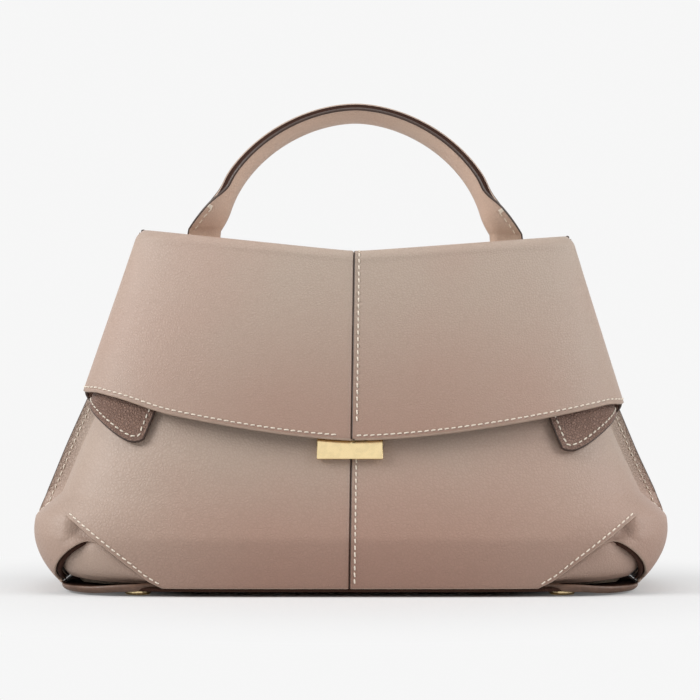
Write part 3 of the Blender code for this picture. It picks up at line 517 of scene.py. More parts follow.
finishes["thread"] = threadFinish()
finishes["gold"] = metalFinish("pale_gold_plate", (0.95, 0.75, 0.42), 0.18)
finishes["steel"] = metalFinish("plain_steel", (0.56, 0.57, 0.58), 0.32)
finishes["board"] = boardFinish()
print("finishes made")


# Meshes
hands = (("Left", -1), ("Right", 1))
farAway = 0.02
batch = 1500


def nearest(points, targets):
    # Distance from each point to the nearest target, in batches, cut off where it is far away.
    found = np.full(len(points), farAway)
    for start in range(0, len(points), batch):
        part = points[start:start + batch].astype(np.float32)
        gaps = np.linalg.norm(part[:, None, :] - targets[None].astype(np.float32), axis=2)
        found[start:start + batch] = np.minimum(gaps.min(axis=1), farAway)
    return found


def putMesh(name, verts, faces, materials, bodyName, slot, marks=None, **attributes):
    # The marks say which of the materials each face has.
    mesh = bpy.data.meshes.new(name)
    mesh.from_pydata(leaned(verts), [], faces)
    for material in materials:
        mesh.materials.append(finishes[material])
    if marks is not None:
        mesh.polygons.foreach_set("material_index", marks.astype(np.int32))
    mesh.polygons.foreach_set("use_smooth", np.full(len(mesh.polygons), True))
    for key, values in attributes.items():
        mesh.attributes.new(key, "FLOAT", "POINT").data.foreach_set("value", values.astype(np.float32))
    mesh.validate()
    mesh.update()
    made = bpy.data.objects.new(name, mesh)
    bpy.context.scene.collection.objects.link(made)
    if bodyName:
        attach(made, bodyName)
    return made


# Outer points within the weld are one point, edges turned more than the sharp angle stay sharp, and
# a free edge is rounded in this many steps
rounding = {"weld": 2e-6, "sharp": math.radians(75), "steps": 6}


def leatherSheet(name, patches, look, bodyName, seams=()):
    # A closed sheet made of grids of outer and inner points, welded where their outer points meet.
    # A patch may also say its tone and which of its cells it keeps. Free edges are rounded:
    # mid + half cos a + outward bulge sin a, for a from 0 to half a turn.
    outers, inners, cells, tones, offset = [], [], [], [], 0
    for outer, inner, *more in patches:
        n, m = outer.shape[:2]
        tone = more[0] if more else np.ones((n, m))
        keep = more[1] if more[1:] else np.ones((n - 1, m - 1), bool)
        across = np.cross(np.diff(outer[:, :-1], axis=0), np.diff(outer[:-1], axis=1))
        if (across * (outer - inner)[:-1, :-1]).sum() < 0:
            outer, inner, tone, keep = (part[::-1] for part in (outer, inner, tone, keep))
        ids = offset + np.arange(n * m).reshape(n, m)
        cells.append(np.stack([ids[:-1, :-1], ids[1:, :-1], ids[1:, 1:], ids[:-1, 1:]], axis=-1)[keep])
        outers.append(outer.reshape(-1, 3))
        inners.append(inner.reshape(-1, 3))
        tones.append(tone.reshape(-1))
        offset += n * m
    outer, inner, cells = np.concatenate(outers), np.concatenate(inners), np.concatenate(cells)
    rounded = np.round(outer / rounding["weld"]).astype(np.int64)
    _, first, same = np.unique(rounded, axis=0, return_index=True, return_inverse=True)
    cells = same.reshape(-1)[cells]
    outer, inner, tone = outer[first], inner[first], np.concatenate(tones)[first]
    used = np.unique(cells)
    renumber = np.zeros(len(outer), int)
    renumber[used] = np.arange(len(used))
    cells, outer, inner, tone = renumber[cells], outer[used], inner[used], tone[used]
    count = len(outer)
    starts = cells.reshape(-1)
    ends = np.roll(cells, -1, axis=1).reshape(-1)
    real = starts != ends
    starts, ends = starts[real], ends[real]
    free = ~np.isin(starts * count + ends, ends * count + starts)
    starts, ends = starts[free], ends[free]
    after, before = np.arange(count), np.arange(count)
    after[starts], before[ends] = ends, starts
    half = (outer - inner)[starts] / 2
    tangent = outer[after[starts]] - outer[before[starts]]
    outward = unit(np.cross(tangent, half))
    size = np.linalg.norm(half, axis=1, keepdims=True)
    steps = look.get("rimSteps", rounding["steps"])
    rings = [starts]
    verts = [outer, inner]
    slotOf = np.zeros(count, int)
    slotOf[starts] = np.arange(len(starts))
    total = 2 * count
    middle = (outer + inner)[starts] / 2
    for k in range(1, steps):
        angle = math.pi * k / steps
        rings.append(total + np.arange(len(starts)))
        verts.append(middle + half * math.cos(angle) + outward * size * look["bulge"] * math.sin(angle))
        total += len(starts)
    rings.append(count + starts)
    nextSlot = slotOf[ends]
    faces = [cells, (cells[:, ::-1] + count)]
    marks = [np.zeros(len(cells), int), np.full(len(cells), 1)]
    for k in range(steps):
        low, high = rings[k], rings[k + 1]
        faces.append(np.stack([low[nextSlot], low, high, high[nextSlot]], axis=1))
        marks.append(np.full(len(starts), 2))
    verts, faces, marks = np.concatenate(verts), np.concatenate(faces), np.concatenate(marks)
    twin = faces == np.roll(faces, -1, axis=1)
    whole = twin.sum(axis=1) == 0
    bent = twin.sum(axis=1) == 1
    triangles = faces[bent][~twin[bent]].reshape(-1, 3)
    faceList = faces[whole].tolist() + triangles.tolist()
    marks = np.concatenate([marks[whole], marks[bent]])
    edge = np.concatenate([np.tile(nearest(outer, outer[starts]), 2), np.zeros(total - 2 * count)])
    tones = np.concatenate([tone, tone, np.tile(tone[starts], steps - 1)])
    seam = nearest(verts, np.concatenate(seams)[:, :3]) if len(seams) else np.full(len(verts), farAway)
    made = putMesh(name, verts, faceList, (look["face"], look["under"], look["rim"]), bodyName, look["slot"],
                   marks, edge=edge, seam=seam, tone=tones)
    made.data.set_sharp_from_angle(angle=rounding["sharp"])
    return made


# Lines of stitches: their pitch as marked on the leather, and how they keep off an edge
sewing = {"marks": 0.0008, "rimPitch": 0.0004, "clear": 0.97, "stride": 3, "flattest": 0.3}


def resample(path, pitch):
    # Places at an even pitch along a path, whose rows may hold a normal behind the place.
    gone = np.concatenate([[0.0], np.cumsum(np.linalg.norm(np.diff(path[:, :3], axis=0), axis=1))])
    count = max(int(gone[-1] / pitch), 1)
    places = (np.arange(count) + 0.5) * gone[-1] / count
    return np.stack([np.interp(places, gone, path[:, k]) for k in range(path.shape[1])], axis=1)


def marksAlong(paths):
    # The places along lines of stitches to which the groove in the leather is measured.
    return [resample(path, sewing["marks"]) for path in paths]


def insetPath(grid, sign, inset):
    # The line that keeps this distance from the last row: along each column, by the inset divided
    # by the sine of the angle between the column and the edge. Points and outward normals.
    turned = grid[:, ::-1]
    normals = gridNormals(grid, sign)[:, ::-1]
    steps = np.linalg.norm(np.diff(turned, axis=1), axis=2)
    gone = np.concatenate([np.zeros((len(grid), 1)), np.cumsum(steps, axis=1)], axis=1)
    edgeWay = unit(np.gradient(turned[:, 0], axis=0))
    columnWay = unit(turned[:, min(sewing["stride"], turned.shape[1] - 1)] - turned[:, 0])
    slant = np.maximum(np.linalg.norm(np.cross(edgeWay, columnWay), axis=1), sewing["flattest"])
    want = inset / slant
    above = np.clip((gone < want[:, None]).sum(axis=1), 1, gone.shape[1] - 1)
    row = np.arange(len(grid))
    share = ((want - gone[row, above - 1]) / (gone[row, above] - gone[row, above - 1]))[:, None]
    places = mix(turned[row, above - 1], turned[row, above], share)
    return np.concatenate([places, unit(mix(normals[row, above - 1], normals[row, above], share))], axis=1)


def rimPath(rim, inset):
    # The line inside a rim of points and normals, without the parts that come too near to the rim.
    even = resample(rim, sewing["rimPitch"])
    tangent = unit(np.gradient(even[:, :3], axis=0))
    inward = unit(np.cross(tangent, even[:, 3:]))
    moved = even[:, :3] + inward * inset
    clear = nearest(moved, even[:, :3]) > inset * sewing["clear"]
    return np.concatenate([moved, unit(even[:, 3:])], axis=1)[clear]


stitch = {
    "pitch": 0.0035, "length": 0.0024, "radius": 0.00040, "rise": 0.00030, "sink": 0.00006, "sides": 6,
    "along": (-0.5, -0.45, -0.3, 0.0, 0.3, 0.45, 0.5), "swelling": (0.35, 0.8, 1.0, 1.0, 1.0, 0.8, 0.35),
    "slant": 0.10, "slantSpread": 0.03, "sizes": (0.95, 1.05), "seed": 11,
}
tack = {"threads": 5, "apart": 0.00038}


def rodFaces(count, sides):
    # Quads between the rings of a rod, and the two caps that close it.
    ids = np.arange(count * sides).reshape(count, sides)
    turned = np.roll(ids, -1, axis=1)
    quads = np.stack([ids[:-1], turned[:-1], turned[1:], ids[1:]], axis=-1)
    return quads.reshape(-1, 4), (ids[0, ::-1], ids[-1])


def stitchTemplate():
    # One stitch lying along x: rings whose radius and height follow the thread.
    along = np.array(stitch["along"]) * stitch["length"]
    radius = np.array(stitch["swelling"])[:, None] * stitch["radius"]
    lift = stitch["rise"] * (1 - (2 * along / stitch["length"]) ** 2) - stitch["sink"]
    angle = np.arange(stitch["sides"]) / stitch["sides"] * 2 * math.pi
    x = np.repeat(along, stitch["sides"])
    y = (radius * np.cos(angle)).reshape(-1)
    z = (lift[:, None] + radius * np.sin(angle)).reshape(-1)
    return np.stack([x, y, z], axis=1)


def threadMesh(name, spots, ways, bodyName):
    # A stitch at every spot, whose x, y and z lie along the three ways and are scaled by them.
    template = stitchTemplate()
    quads, caps = rodFaces(len(stitch["along"]), stitch["sides"])
    verts = spots[:, None] + sum(template[None, :, k, None] * ways[k][:, None] for k in range(3))
    shift = (np.arange(len(spots)) * len(template))[:, None, None]
    faces = (quads[None] + shift).reshape(-1, 4).tolist()
    for cap in caps:
        faces += (cap[None] + shift[:, 0]).tolist()
    return putMesh(name, verts.reshape(-1, 3), faces, ("thread",), bodyName, None)


def stitchRow(name, paths, bodyName):
    # Stitches along paths that hold points and normals, each turned a little across its line.
    draws = np.random.default_rng(stitch["seed"])
    spots = [even for even in (resample(path, stitch["pitch"]) for path in paths) if len(even) > 1]
    way = np.concatenate([unit(np.gradient(even[:, :3], axis=0)) for even in spots])
    spots = np.concatenate(spots)
    up = unit(spots[:, 3:])
    turn = (stitch["slant"] + draws.normal(0.0, stitch["slantSpread"], len(spots)))[:, None]
    along = unit(way * np.cos(turn) + unit(np.cross(up, way)) * np.sin(turn))
    size = draws.uniform(*stitch["sizes"], len(spots))[:, None]
    return threadMesh(name, spots[:, :3], [size * along, size * np.cross(up, along), size * up], bodyName)


def barTack(name, spots, bodyName):
    # A short dense bar of thread: several long stitches side by side. Each spot is its centre, the
    # way it runs, the normal and its length.
    centres, ways = [], []
    for centre, toward, up, length in spots:
        side = unit(np.cross(up, toward))
        for k in range(tack["threads"]):
            centres.append(centre + side * (k - (tack["threads"] - 1) / 2) * tack["apart"])
            ways.append((np.cross(side, up) * length / stitch["length"], side, up))
    return threadMesh(name, np.array(centres), np.swapaxes(ways, 0, 1), bodyName)


# Body shells: the front panel, the wrap round the end and the back panel are one cut of leather,
# slit from the foot up to the tip of each corner cut. The right half laps over the left one.
shell = {
    "columns": 66, "rows": 84, "rowCrowd": 1.12, "lapRamp": 0.0013, "lapDepth": 0.0020, "skived": 0.0010,
    "underNear": (-0.0070, -0.0045, -0.0020, -0.0004, 0.0003, 0.0006, 0.0010, 0.0014, 0.0040, 0.0085),
    "overNear": (0.0001, 0.0004, 0.0010, 0.0020, 0.0035, 0.0055, 0.0085), "fixedFrom": 0.1,
    "wave": 0.0004, "calmFoot": (0.045, 0.075), "calmMiddle": (0.006, 0.03), "calmSide": (0.80, 0.93),
    "calmMouth": (0.15, 0.17), "cutInset": 0.0016, "cutPast": 0.0042, "cutShort": 0.001,
    "finInset": 0.0035, "lowInset": 0.0050, "lowFrom": (0.0400, 0.0520), "sideRun": (0.0310, 0.1660),
    "tackHeight": 0.0444, "tackLength": 0.0032, "tackInset": 0.0008, "tackWay": (0.8, 0.5, 0.2),
    "lapStitch": 0.0022, "lapStitchFoot": 0.002, "lapStitchTop": 0.003,
    "lapStitchPlaces": 160, "pebblesAside": (0.55, 0.80), "pebblesUp": (0.044, 0.064),
    "rimPale": (-0.002, 0.001),
}
lapStart = 0.0003  # where the leather begins to dip into the lap
columnCrowd = 1.25
# Swells of soft leather: how fast they go along x and z, their shift from side to side, their shares
waves = {"crossed": (61, 47, 1.3, 0.6), "falling": (23, 71, 2.1), "rising": (97, 33, 1.9),
         "shares": (0.5, 0.35, 0.15)}


def swell(x, z, side, amount):
    # Slow hollows and swells of soft leather: a product of two sines and two slanting waves.
    alongX, alongZ, shift, start = waves["crossed"]
    crossed = np.sin(x * alongX + side * shift) * np.sin(z * alongZ + start)
    alongX, alongZ, shift = waves["falling"]
    falling = np.sin(x * alongX - z * alongZ + side * shift)
    alongX, alongZ, shift = waves["rising"]
    rising = np.sin(x * alongX + z * alongZ + side * shift)
    one, two, three = waves["shares"]
    return amount * (one * crossed + two * falling + three * rising)


def columnPlaces(near, count):
    # Columns at fixed distances from the middle, then shares that crowd towards the side.
    crowded = 1 - (1 - np.arange(1, count + 1) / count) ** columnCrowd
    share = np.concatenate([np.zeros(len(near)), crowded])
    return np.concatenate([near, np.full(count, np.nan)]), share, near[-1]


def columnsAt(places, placeAt):
    # The outline's parameter of every column, where placeAt turns a distance into the parameter.
    near, share, start = places
    close = placeAt(np.nan_to_num(near)[:, None])
    return np.where(np.isnan(near)[:, None], mix(placeAt(start), 1.0, share[:, None]), close)


def lapColumns(look, laps, full):
    # Columns of a half, with how deep and how thick it lies. The left half dips and thins where it
    # runs under the free edge of the right one.
    near = np.array(look["underNear"] if laps else look["overNear"])
    places = columnPlaces(near, look["columns"])
    clear = np.ones(len(places[0]))
    if laps:
        clear = ease(np.nan_to_num(places[0], nan=1.0), lapStart, look["lapRamp"])
    return places, (look["lapDepth"] * (1 - clear))[:, None], mix(look["skived"], full, clear)[:, None]


def panelPatch(back, side):
    # Rows run from the lower edge to the mouth. In the lap the left half dips under the right one.
    places, sunk, thick = lapColumns(shell, side < 0, body["leather"])

    def columns(z):
        return columnsAt(places, lambda x: bodyPlace(back, x, z))

    first = columns(np.full((1, 1), body["kneeHeight"]))[:, 0]
    tip = bodyPlace(back, cut["tipOut"], np.array(cut["tipHeight"]))
    nearestColumn = np.argmin(np.abs(first - tip))
    first[nearestColumn] = tip
    lowEdge = cutHeight(back, first)[:, None]
    top = wallTop(back, first)[:, None]
    z = mix(lowEdge, top, (evenly(shell["rows"]) ** shell["rowCrowd"])[None])
    u = columns(z)
    u = np.where(u > shell["fixedFrom"], first[:, None], u)
    u[-1] = 1.0
    x = np.abs(bodySurface(back, u, z)[..., 0])
    calm = ease(z, *shell["calmFoot"]) * ease(x, *shell["calmMiddle"])
    calm = calm * (1 - ease(u, *shell["calmSide"])) * (1 - ease(z, *shell["calmMouth"]))
    wave = swell(x, z, side + 2 * back, shell["wave"]) * calm
    outer = bodyPoint(back, u, z, sunk - wave)
    inner = bodyPoint(back, u, z, sunk + thick - wave)
    return outer, inner, first, nearestColumn, z


def wrapPatch(back, first, tipColumn):
    # From the side to the tip of the cut the wrap is flush with the panel. Further in it ends in a
    # free edge low down, and sinks under the panel where the cut passes over it.
    lift = evenly(cut["rows"])[None]

    def places(z):
        start = bodyPlace(back, wrapEdgeOut(z), z)
        return start, np.maximum(first[tipColumn], mix(start, 1.0, cut["lipShare"]))

    zFlush = mix(body["foot"], cut["tipHeight"], lift)
    spread = (1 - first[tipColumn:][::-1]) / (1 - first[tipColumn])
    uFlush = 1 - spread[:, None] * (1 - places(zFlush)[1])
    steps = (1 - evenly(cut["columns"])[1:])[:, None]
    tucked = mix(cut["shy"], cut["tuck"], ease(steps, *cut["tuckRun"]))
    z = np.full((len(steps), cut["rows"]), cut["guess"])
    for _ in range(cut["wrapRounds"]):
        start, tip = places(z)
        u = mix(start, tip, steps)
        z = mix(body["foot"], cutHeight(back, u) + tucked, lift)
    sunk = wrapSink(back, u, z) * ease(steps, *cut["sinkRun"])
    u = np.concatenate([uFlush, u])
    z = np.concatenate([np.repeat(zFlush, len(spread), axis=0), z])
    depth = np.concatenate([np.zeros(uFlush.shape), sunk])
    return bodyPoint(back, u, z, depth), bodyPoint(back, u, z, depth + body["leather"])


sideSteps = {"up": 260, "across": 240, "from": 0.6}


def sideLine(back, inset):
    # The line on the side that keeps this distance from the fin's edge, and swings out a little below.
    z = np.linspace(*shell["sideRun"], sideSteps["up"])[:, None]
    u = np.linspace(sideSteps["from"], 1.0, sideSteps["across"])[None]
    row = bodySurface(back, u, z)[:, ::-1]
    gone = np.cumsum(np.linalg.norm(np.diff(row, axis=1, prepend=row[:, :1]), axis=2), axis=1)
    want = mix(max(inset, shell["lowInset"]), inset, ease(z[:, 0], *shell["lowFrom"]))
    place = np.array([np.interp(want[k], gone[k], u[0, ::-1]) for k in range(len(z))])
    return np.concatenate([bodyPoint(back, place, z[:, 0], 0.0), bodyNormals(back, place, z[:, 0])], axis=1)


shellLook = {"face": "sides", "under": "lining", "rim": "paint", "bulge": 0.6, "slot": "taupe_leather"}
for hand, side in hands:
    patches, finLines, cutLines, lapLines, tacks = [], [], [], [], []
    for back in (False, True):
        outer, inner, first, tipColumn, z = panelPatch(back, side)
        tone = ease(outer[..., 0] / bodyHalf(z), *shell["pebblesAside"]) * ease(z, *shell["pebblesUp"])
        tone[-1] = ease(z[-1], *(body["kneeHeight"] + np.array(shell["rimPale"])))
        tone[0] = 1.0
        patches.append((mirrored(outer, side), mirrored(inner, side), tone))
        wrapOuter, wrapInner = wrapPatch(back, first, tipColumn)
        patches.append((mirrored(wrapOuter, side), mirrored(wrapInner, side), np.zeros(wrapOuter.shape[:2])))
        sign = -1 if back else 1
        finLines.append(sideLine(back, shell["finInset"]))
        rim = sideLine(back, shell["tackInset"])
        near = mirrored(rim[np.argmin(np.abs(rim[:, 2] - shell["tackHeight"]))], side)
        tacks.append((near[:3], np.array(shell["tackWay"]) * (side, sign, 1), near[3:], shell["tackLength"]))
        line = insetPath(outer[:, ::-1], -sign, shell["cutInset"])
        start, end = cut["footOut"] - shell["cutPast"], cut["tipOut"] - shell["cutShort"]
        cutLines.append(line[(line[:, 0] > start) & (line[:, 0] < end)])
        if side > 0:
            foot, top = body["foot"] + shell["lapStitchFoot"], wallTop(back, 0) - shell["lapStitchTop"]
            z = mix(foot, top, evenly(shell["lapStitchPlaces"]))
            u = bodyPlace(back, np.full(len(z), shell["lapStitch"]), z)
            lapLines.append(np.concatenate([bodyPoint(back, u, z, 0.0), bodyNormals(back, u, z)], axis=1))
    paths = [mirrored(path, side) for path in finLines + cutLines + lapLines]
    made = leatherSheet(f"bodyShell{hand}", patches, shellLook, "carcass", marksAlong(paths))
    low = hand.lower()
    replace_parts(made, f"front_panel_{low}", f"back_panel_{low}", f"side_wrap_{low}")
    stitchRow(f"bodyStitches{hand}", paths, "carcass")
    barTack(f"finTacks{hand}", tacks, "carcass")
    print(made.name, len(made.data.polygons), "faces")

# Corner gores: soft pleats that puff out of the corner openings, above a dark gap along the welt
gore = {
    "start": 0.0950, "endPlace": 0.90, "under": 0.0060, "depth": 0.0064, "puff": 0.0036, "roundAcross": 0.5,
    "roundUp": 0.55, "gapTop": 0.0060, "topPast": 0.001, "startShy": 0.002, "edgeShy": 0.001,
    "crumple": 0.0006, "crumpleScale": 2.2, "columns": 44, "rows": 30,
}
softLook = {"face": "taupe", "under": "lining", "rim": "paint", "bulge": 0.8, "rimSteps": 4,
            "slot": "taupe_leather"}
rod = {"sides": 12, "roundEnd": 5, "thinnest": 0.04}
welt = {"from": 0.0048, "to": 0.0326, "inside": 0.0011, "under": 0.0032, "wide": 0.0017, "high": 0.0012,
        "points": 70}


def smoothPath(points, count):
    # Catmull-Rom spline: each stretch between two points is a cubic through them whose slopes come
    # from their neighbours.
    points = np.asarray(points, float)
    padded = np.concatenate([2 * points[:1] - points[1:2], points, 2 * points[-1:] - points[-2:-1]])
    place = np.linspace(0, len(points) - 1, count)
    k = np.minimum(place.astype(int), len(points) - 2)
    t = (place - k)[:, None]
    a, b, c, d = (padded[k + i] for i in range(4))
    return 0.5 * (2 * b + (c - a) * t + (2 * a - 5 * b + 4 * c - d) * t**2 + (3 * b - a - 3 * c + d) * t**3)


def tube(name, path, normals, look, material):
    # A rod along a path: rings of centre + n h cos a + b w sin a, which shrink to round ends.
    way = unit(np.gradient(path, axis=0))
    side = unit(np.cross(normals, way))
    up = np.cross(way, side)
    angle = (np.arange(rod["sides"]) / rod["sides"] * 2 * math.pi)[None, :, None]
    gone = evenly(len(path))
    close = np.minimum(gone, 1 - gone) * len(path) / rod["roundEnd"]
    close = np.sqrt(np.clip(close, rod["thinnest"], 1.0))[:, None, None]
    ring = up[:, None] * look["high"] * np.cos(angle) + side[:, None] * look["wide"] * np.sin(angle)
    verts = (path[:, None] + ring * close).reshape(-1, 3)
    quads, caps = rodFaces(len(path), rod["sides"])
    plain = np.full(len(verts), farAway)
    return putMesh(name, verts, quads.tolist() + [cap.tolist() for cap in caps], (material,), "carcass",
                   "painted_edge_leather", edge=plain, seam=plain, tone=np.ones(len(verts)))


for back, fore in ((False, "Front"), (True, "Back")):
    for hand, side in hands:
        start = bodyPlace(back, gore["start"], np.array(body["foot"]))
        u = np.linspace(start, gore["endPlace"], gore["columns"])[:, None]
        z = mix(body["foot"], cutHeight(back, u) + gore["under"], evenly(gore["rows"])[None])
        x = bodySurface(back, u, z)[..., 0]
        top = mix(body["foot"], cut["tipHeight"], ramp(x, cut["footOut"], cut["tipOut"]))
        across = ramp(x, cut["footOut"] - gore["startShy"], wrapEdgeOut(z) - gore["edgeShy"])
        across = np.sin(math.pi * across)
        rise = np.sin(math.pi * ramp(z, gore["gapTop"], top + gore["topPast"]))
        puff = gore["puff"] * across ** gore["roundAcross"] * rise ** gore["roundUp"]
        scale = gore["crumpleScale"]
        crumple = swell(x * scale, z * scale, side + back, gore["crumple"]) * across * rise
        outer = mirrored(bodyPoint(back, u, z, gore["depth"] - puff - crumple), side)
        inner = mirrored(bodyPoint(back, u, z, gore["depth"] + body["leather"]), side)
        made = leatherSheet(f"cornerGore{fore}{hand}", [(outer, inner)], softLook, "carcass")
        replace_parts(made, f"corner_gore_{fore.lower()}_{hand.lower()}")
        z = np.linspace(welt["from"], welt["to"], welt["points"])
        u = bodyPlace(back, wrapEdgeOut(z) - welt["inside"], z)
        path = mirrored(bodyPoint(back, u, z, wrapSink(back, u, z) + welt["under"]), side)
        # The welt's near-black leather is partly painted shade of the gap round it.
        tube(f"cornerWelt{fore}{hand}", path, mirrored(bodyNormals(back, u, z), side), welt, "channel")

# Foot bands: a padded brown strip round each end, from under the front panel to under the back one
footBand = {
    "from": 0.0940, "rises": (0.1045, 0.1120), "height": 0.0043, "sag": 0.0016, "sagRun": (0.112, 0.140),
    "deep": 0.0040, "depth": 0.0004, "wide": 0.0021, "high": 0.0012, "points": 70, "crowd": 1.3,
}
for hand, side in hands:
    paths, ups = [], []
    for back in (False, True):
        start = bodyPlace(back, footBand["from"], footBand["height"])
        u = 1 - (1 - start) * (1 - evenly(footBand["points"])) ** footBand["crowd"]
        out = bodySurface(back, u, footBand["height"])[:, 0]
        z = footBand["height"] - footBand["sag"] * ease(out, *footBand["sagRun"])
        path = bodyPoint(back, u, z, mix(footBand["deep"], footBand["depth"], ease(out, *footBand["rises"])))
        order = -1 if back else 1
        paths.append(path[::order])
        ups.append(bodyNormals(back, u, z)[::order])
    paths, ups = (mirrored(np.concatenate(rows), side) for rows in (paths, ups))
    tube(f"footBand{hand}", paths, ups, footBand, "welt")

# Base: one slab with rounded painted edges
base = {"under": 0.0026, "thick": 0.0018, "inset": 0.0016, "columns": 60, "rows": 30}
# The base takes the near-black leather, partly painted shade where it lies under the body.
baseLook = {"face": "channel", "under": "taupe", "rim": "channel", "bulge": 0.7,
            "slot": "painted_edge_leather"}
quarter = np.linspace(0, math.pi / 2, base["columns"])
u = np.concatenate([-np.cos(quarter), np.cos(quarter[::-1])[1:]])[:, None]
front, rear = (insetSurface(back, u, np.full(u.shape, body["foot"]), base["inset"]) for back in (False, True))
outer = mix(front, rear, evenly(base["rows"])[None, :, None])
inner = outer.copy()
outer[..., 2], inner[..., 2] = base["under"] + base["thick"], base["under"]
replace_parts(leatherSheet("basePanel", [(outer, inner)], baseLook, "carcass"), "base_panel")

# Lining bag, mouth facing and slip pocket
inside = {
    "inset": 0.0053, "foot": 0.0060, "from": 0.0700, "to": 0.0420, "thick": 0.0008, "floor": 0.0091,
    "columns": 90, "rows": 50, "floorRows": 24, "facing": 0.0260, "facingThick": 0.0011,
    "facingDrop": 0.0006, "facingGap": 0.0025, "facingRows": 14, "facingInset": 0.003, "facingEnds": 6,
    "pocketHalf": 0.0500, "pocketFoot": 0.0750, "pocketTop": 0.1400, "pocketThick": 0.0010,
    "pocketGap": 0.0003, "pocketInset": 0.0025, "pocketColumns": 60, "pocketRows": 40,
}
liningLook = {"face": "lining", "under": "lining", "rim": "paint", "bulge": 0.7, "rimSteps": 4,
              "slot": "brown_lining"}
u = np.sin(np.linspace(-math.pi / 2, math.pi / 2, inside["columns"]))[:, None]
patches = []
for back in (False, True):
    z = mix(inside["floor"], wallTop(back, u), evenly(inside["rows"])[None])
    inset = inside["inset"] + inside["foot"] * ramp(z, inside["from"], inside["to"])
    outer = insetSurface(back, u, z, inset)
    inner = insetSurface(back, u, z, inset + inside["thick"])
    inner[:, 0, 2] += inside["thick"]
    patches.append((outer, inner))
share = evenly(inside["floorRows"])[None, :, None]
patches.append([mix(patches[0][k][:, :1], patches[1][k][:, :1], share) for k in (0, 1)])
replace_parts(leatherSheet("liningBag", patches, liningLook, "carcass"), "lining")
near = inside["inset"] + inside["thick"] + inside["facingGap"]
patches, lines = [], []
for back in (False, True):
    top = wallTop(back, u) - inside["facingDrop"]
    z = mix(top - inside["facing"], top, evenly(inside["facingRows"])[None])
    inner = insetSurface(back, u, z, near + inside["facingThick"])
    patches.append((insetSurface(back, u, z, near), inner))
    line = insetPath(inner[:, ::-1], 1 if back else -1, inside["facingInset"])
    lines.append(line[inside["facingEnds"]:-inside["facingEnds"]])
look = {**liningLook, "under": "taupe", "slot": "taupe_leather"}
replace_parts(leatherSheet("mouthFacing", patches, look, "carcass", lines), "mouth_facing")
stitchRow("facingStitches", lines, "carcass")
x = np.linspace(-inside["pocketHalf"], inside["pocketHalf"], inside["pocketColumns"])[:, None]
z = mix(inside["pocketFoot"], inside["pocketTop"], evenly(inside["pocketRows"])[None]) + 0 * x
near = inside["inset"] + inside["thick"] + inside["pocketGap"]
place = outlinePlace(x, bodyHalf(z) - finLength(z) - near, bodySquare(True, z))
grids = [insetSurface(True, place, z, near + depth) for depth in (0.0, inside["pocketThick"])]
lines = []
for grid, sign in ((grids[1], 1), (np.swapaxes(grids[1], 0, 1), -1)):
    lines.append(insetPath(grid, sign, inside["pocketInset"]))
    lines.append(insetPath(grid[:, ::-1], -sign, inside["pocketInset"]))
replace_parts(leatherSheet("slipPocket", [grids], liningLook, "carcass", lines), "slip_pocket")
stitchRow("pocketStitches", lines, "carcass")
print("carcass dressed")

# Flap: a strip from the yoke, a ridge, and the fall, whose sides fold back behind it as wings
flap = {
    "ridgeMid": 0.1802, "ridgeRise": 0.0115, "ridgeHalf": 0.1150, "ridgeSoft": 0.0060, "ridgeRadius": 0.0060,
    "topOverhang": 0.01345, "foldOverhang": 0.0029, "topHeight": 0.1917, "foldHeight": 0.1000, "corner": 0.0065,
    "stand": 0.0082, "edgeMid": 0.0818, "edgeRise": 0.0227, "edgeHalf": 0.1450, "edgeCurve": 1.55,
    "leftLift": 0.0022, "leftRun": (0.095, 0.125), "foldDrop": 0.0024, "foldDropRun": (0.134, 0.147),
    "hinge": 0.1860, "hingeRise": -0.0002, "sag": 0.0016, "rearGap": 0.0004, "rearSoft": 4, "rearLeast": 0.001,
    "thick": 0.0029, "foldThick": 0.0020, "foldThickRun": (0.002, 0.016), "edgeThick": 0.0020,
    "edgeThickRun": (0.001, 0.0070), "foldRadius": 0.0037, "foldDip": 0.0080, "foldSteps": 10,
    "wingIn": 0.1032, "wingTop": 0.104, "wingTopRun": (0.0, 0.8), "wingColumns": 48, "wingCrowd": 1.4,
    "earPlaces": 160, "earShift": 0.0006, "earFrom": (0.0, 0.15), "earInset": 0.0026, "earTop": 0.1100,
    "edgeInset": 0.0017,
    "lapDepth": 0.0018, "lapRamp": 0.0013, "skived": 0.0010, "lapThin": 0.0016, "lapThinRun": (0.0070, 0.0090),
    "underNear": (-0.0068, -0.0040, -0.0015, -0.0003, 0.0003, 0.0006, 0.0010, 0.0014, 0.0040, 0.0080),
    "overNear": (0.0001, 0.0004, 0.0010, 0.0016, 0.0022, 0.0045, 0.0062, 0.0072, 0.0090), "lapColumn": 4,
    "underFrom": 0.0042, "overFrom": 0.0012, "columns": 64, "rounds": 8,
    "wave": 0.00035, "waveMiddle": (0.008, 0.04), "waveSide": (0.11, 0.135), "waveScale": (0.8, 0.7),
    "waveShift": (0.4, 1.7), "waveRound": 0.7, "dipCurve": 0.6, "dipLate": 6, "earLate": 3,
    "foldThickFrom": 20, "rimPast": 3, "underSkip": 4, "lapStitchShort": 6,
}


def ridgeHeight(x):
    # Rises evenly to the sides, with a soft dip in the middle.
    out = np.hypot(x, flap["ridgeSoft"]) - flap["ridgeSoft"]
    return flap["ridgeMid"] + flap["ridgeRise"] * out / flap["ridgeHalf"]


def hingeLine(x):
    # Rear line of the strip: level with the joint's axis, and lower where the ridge dips.
    return np.minimum(flap["hinge"], ridgeHeight(x) + flap["hingeRise"])


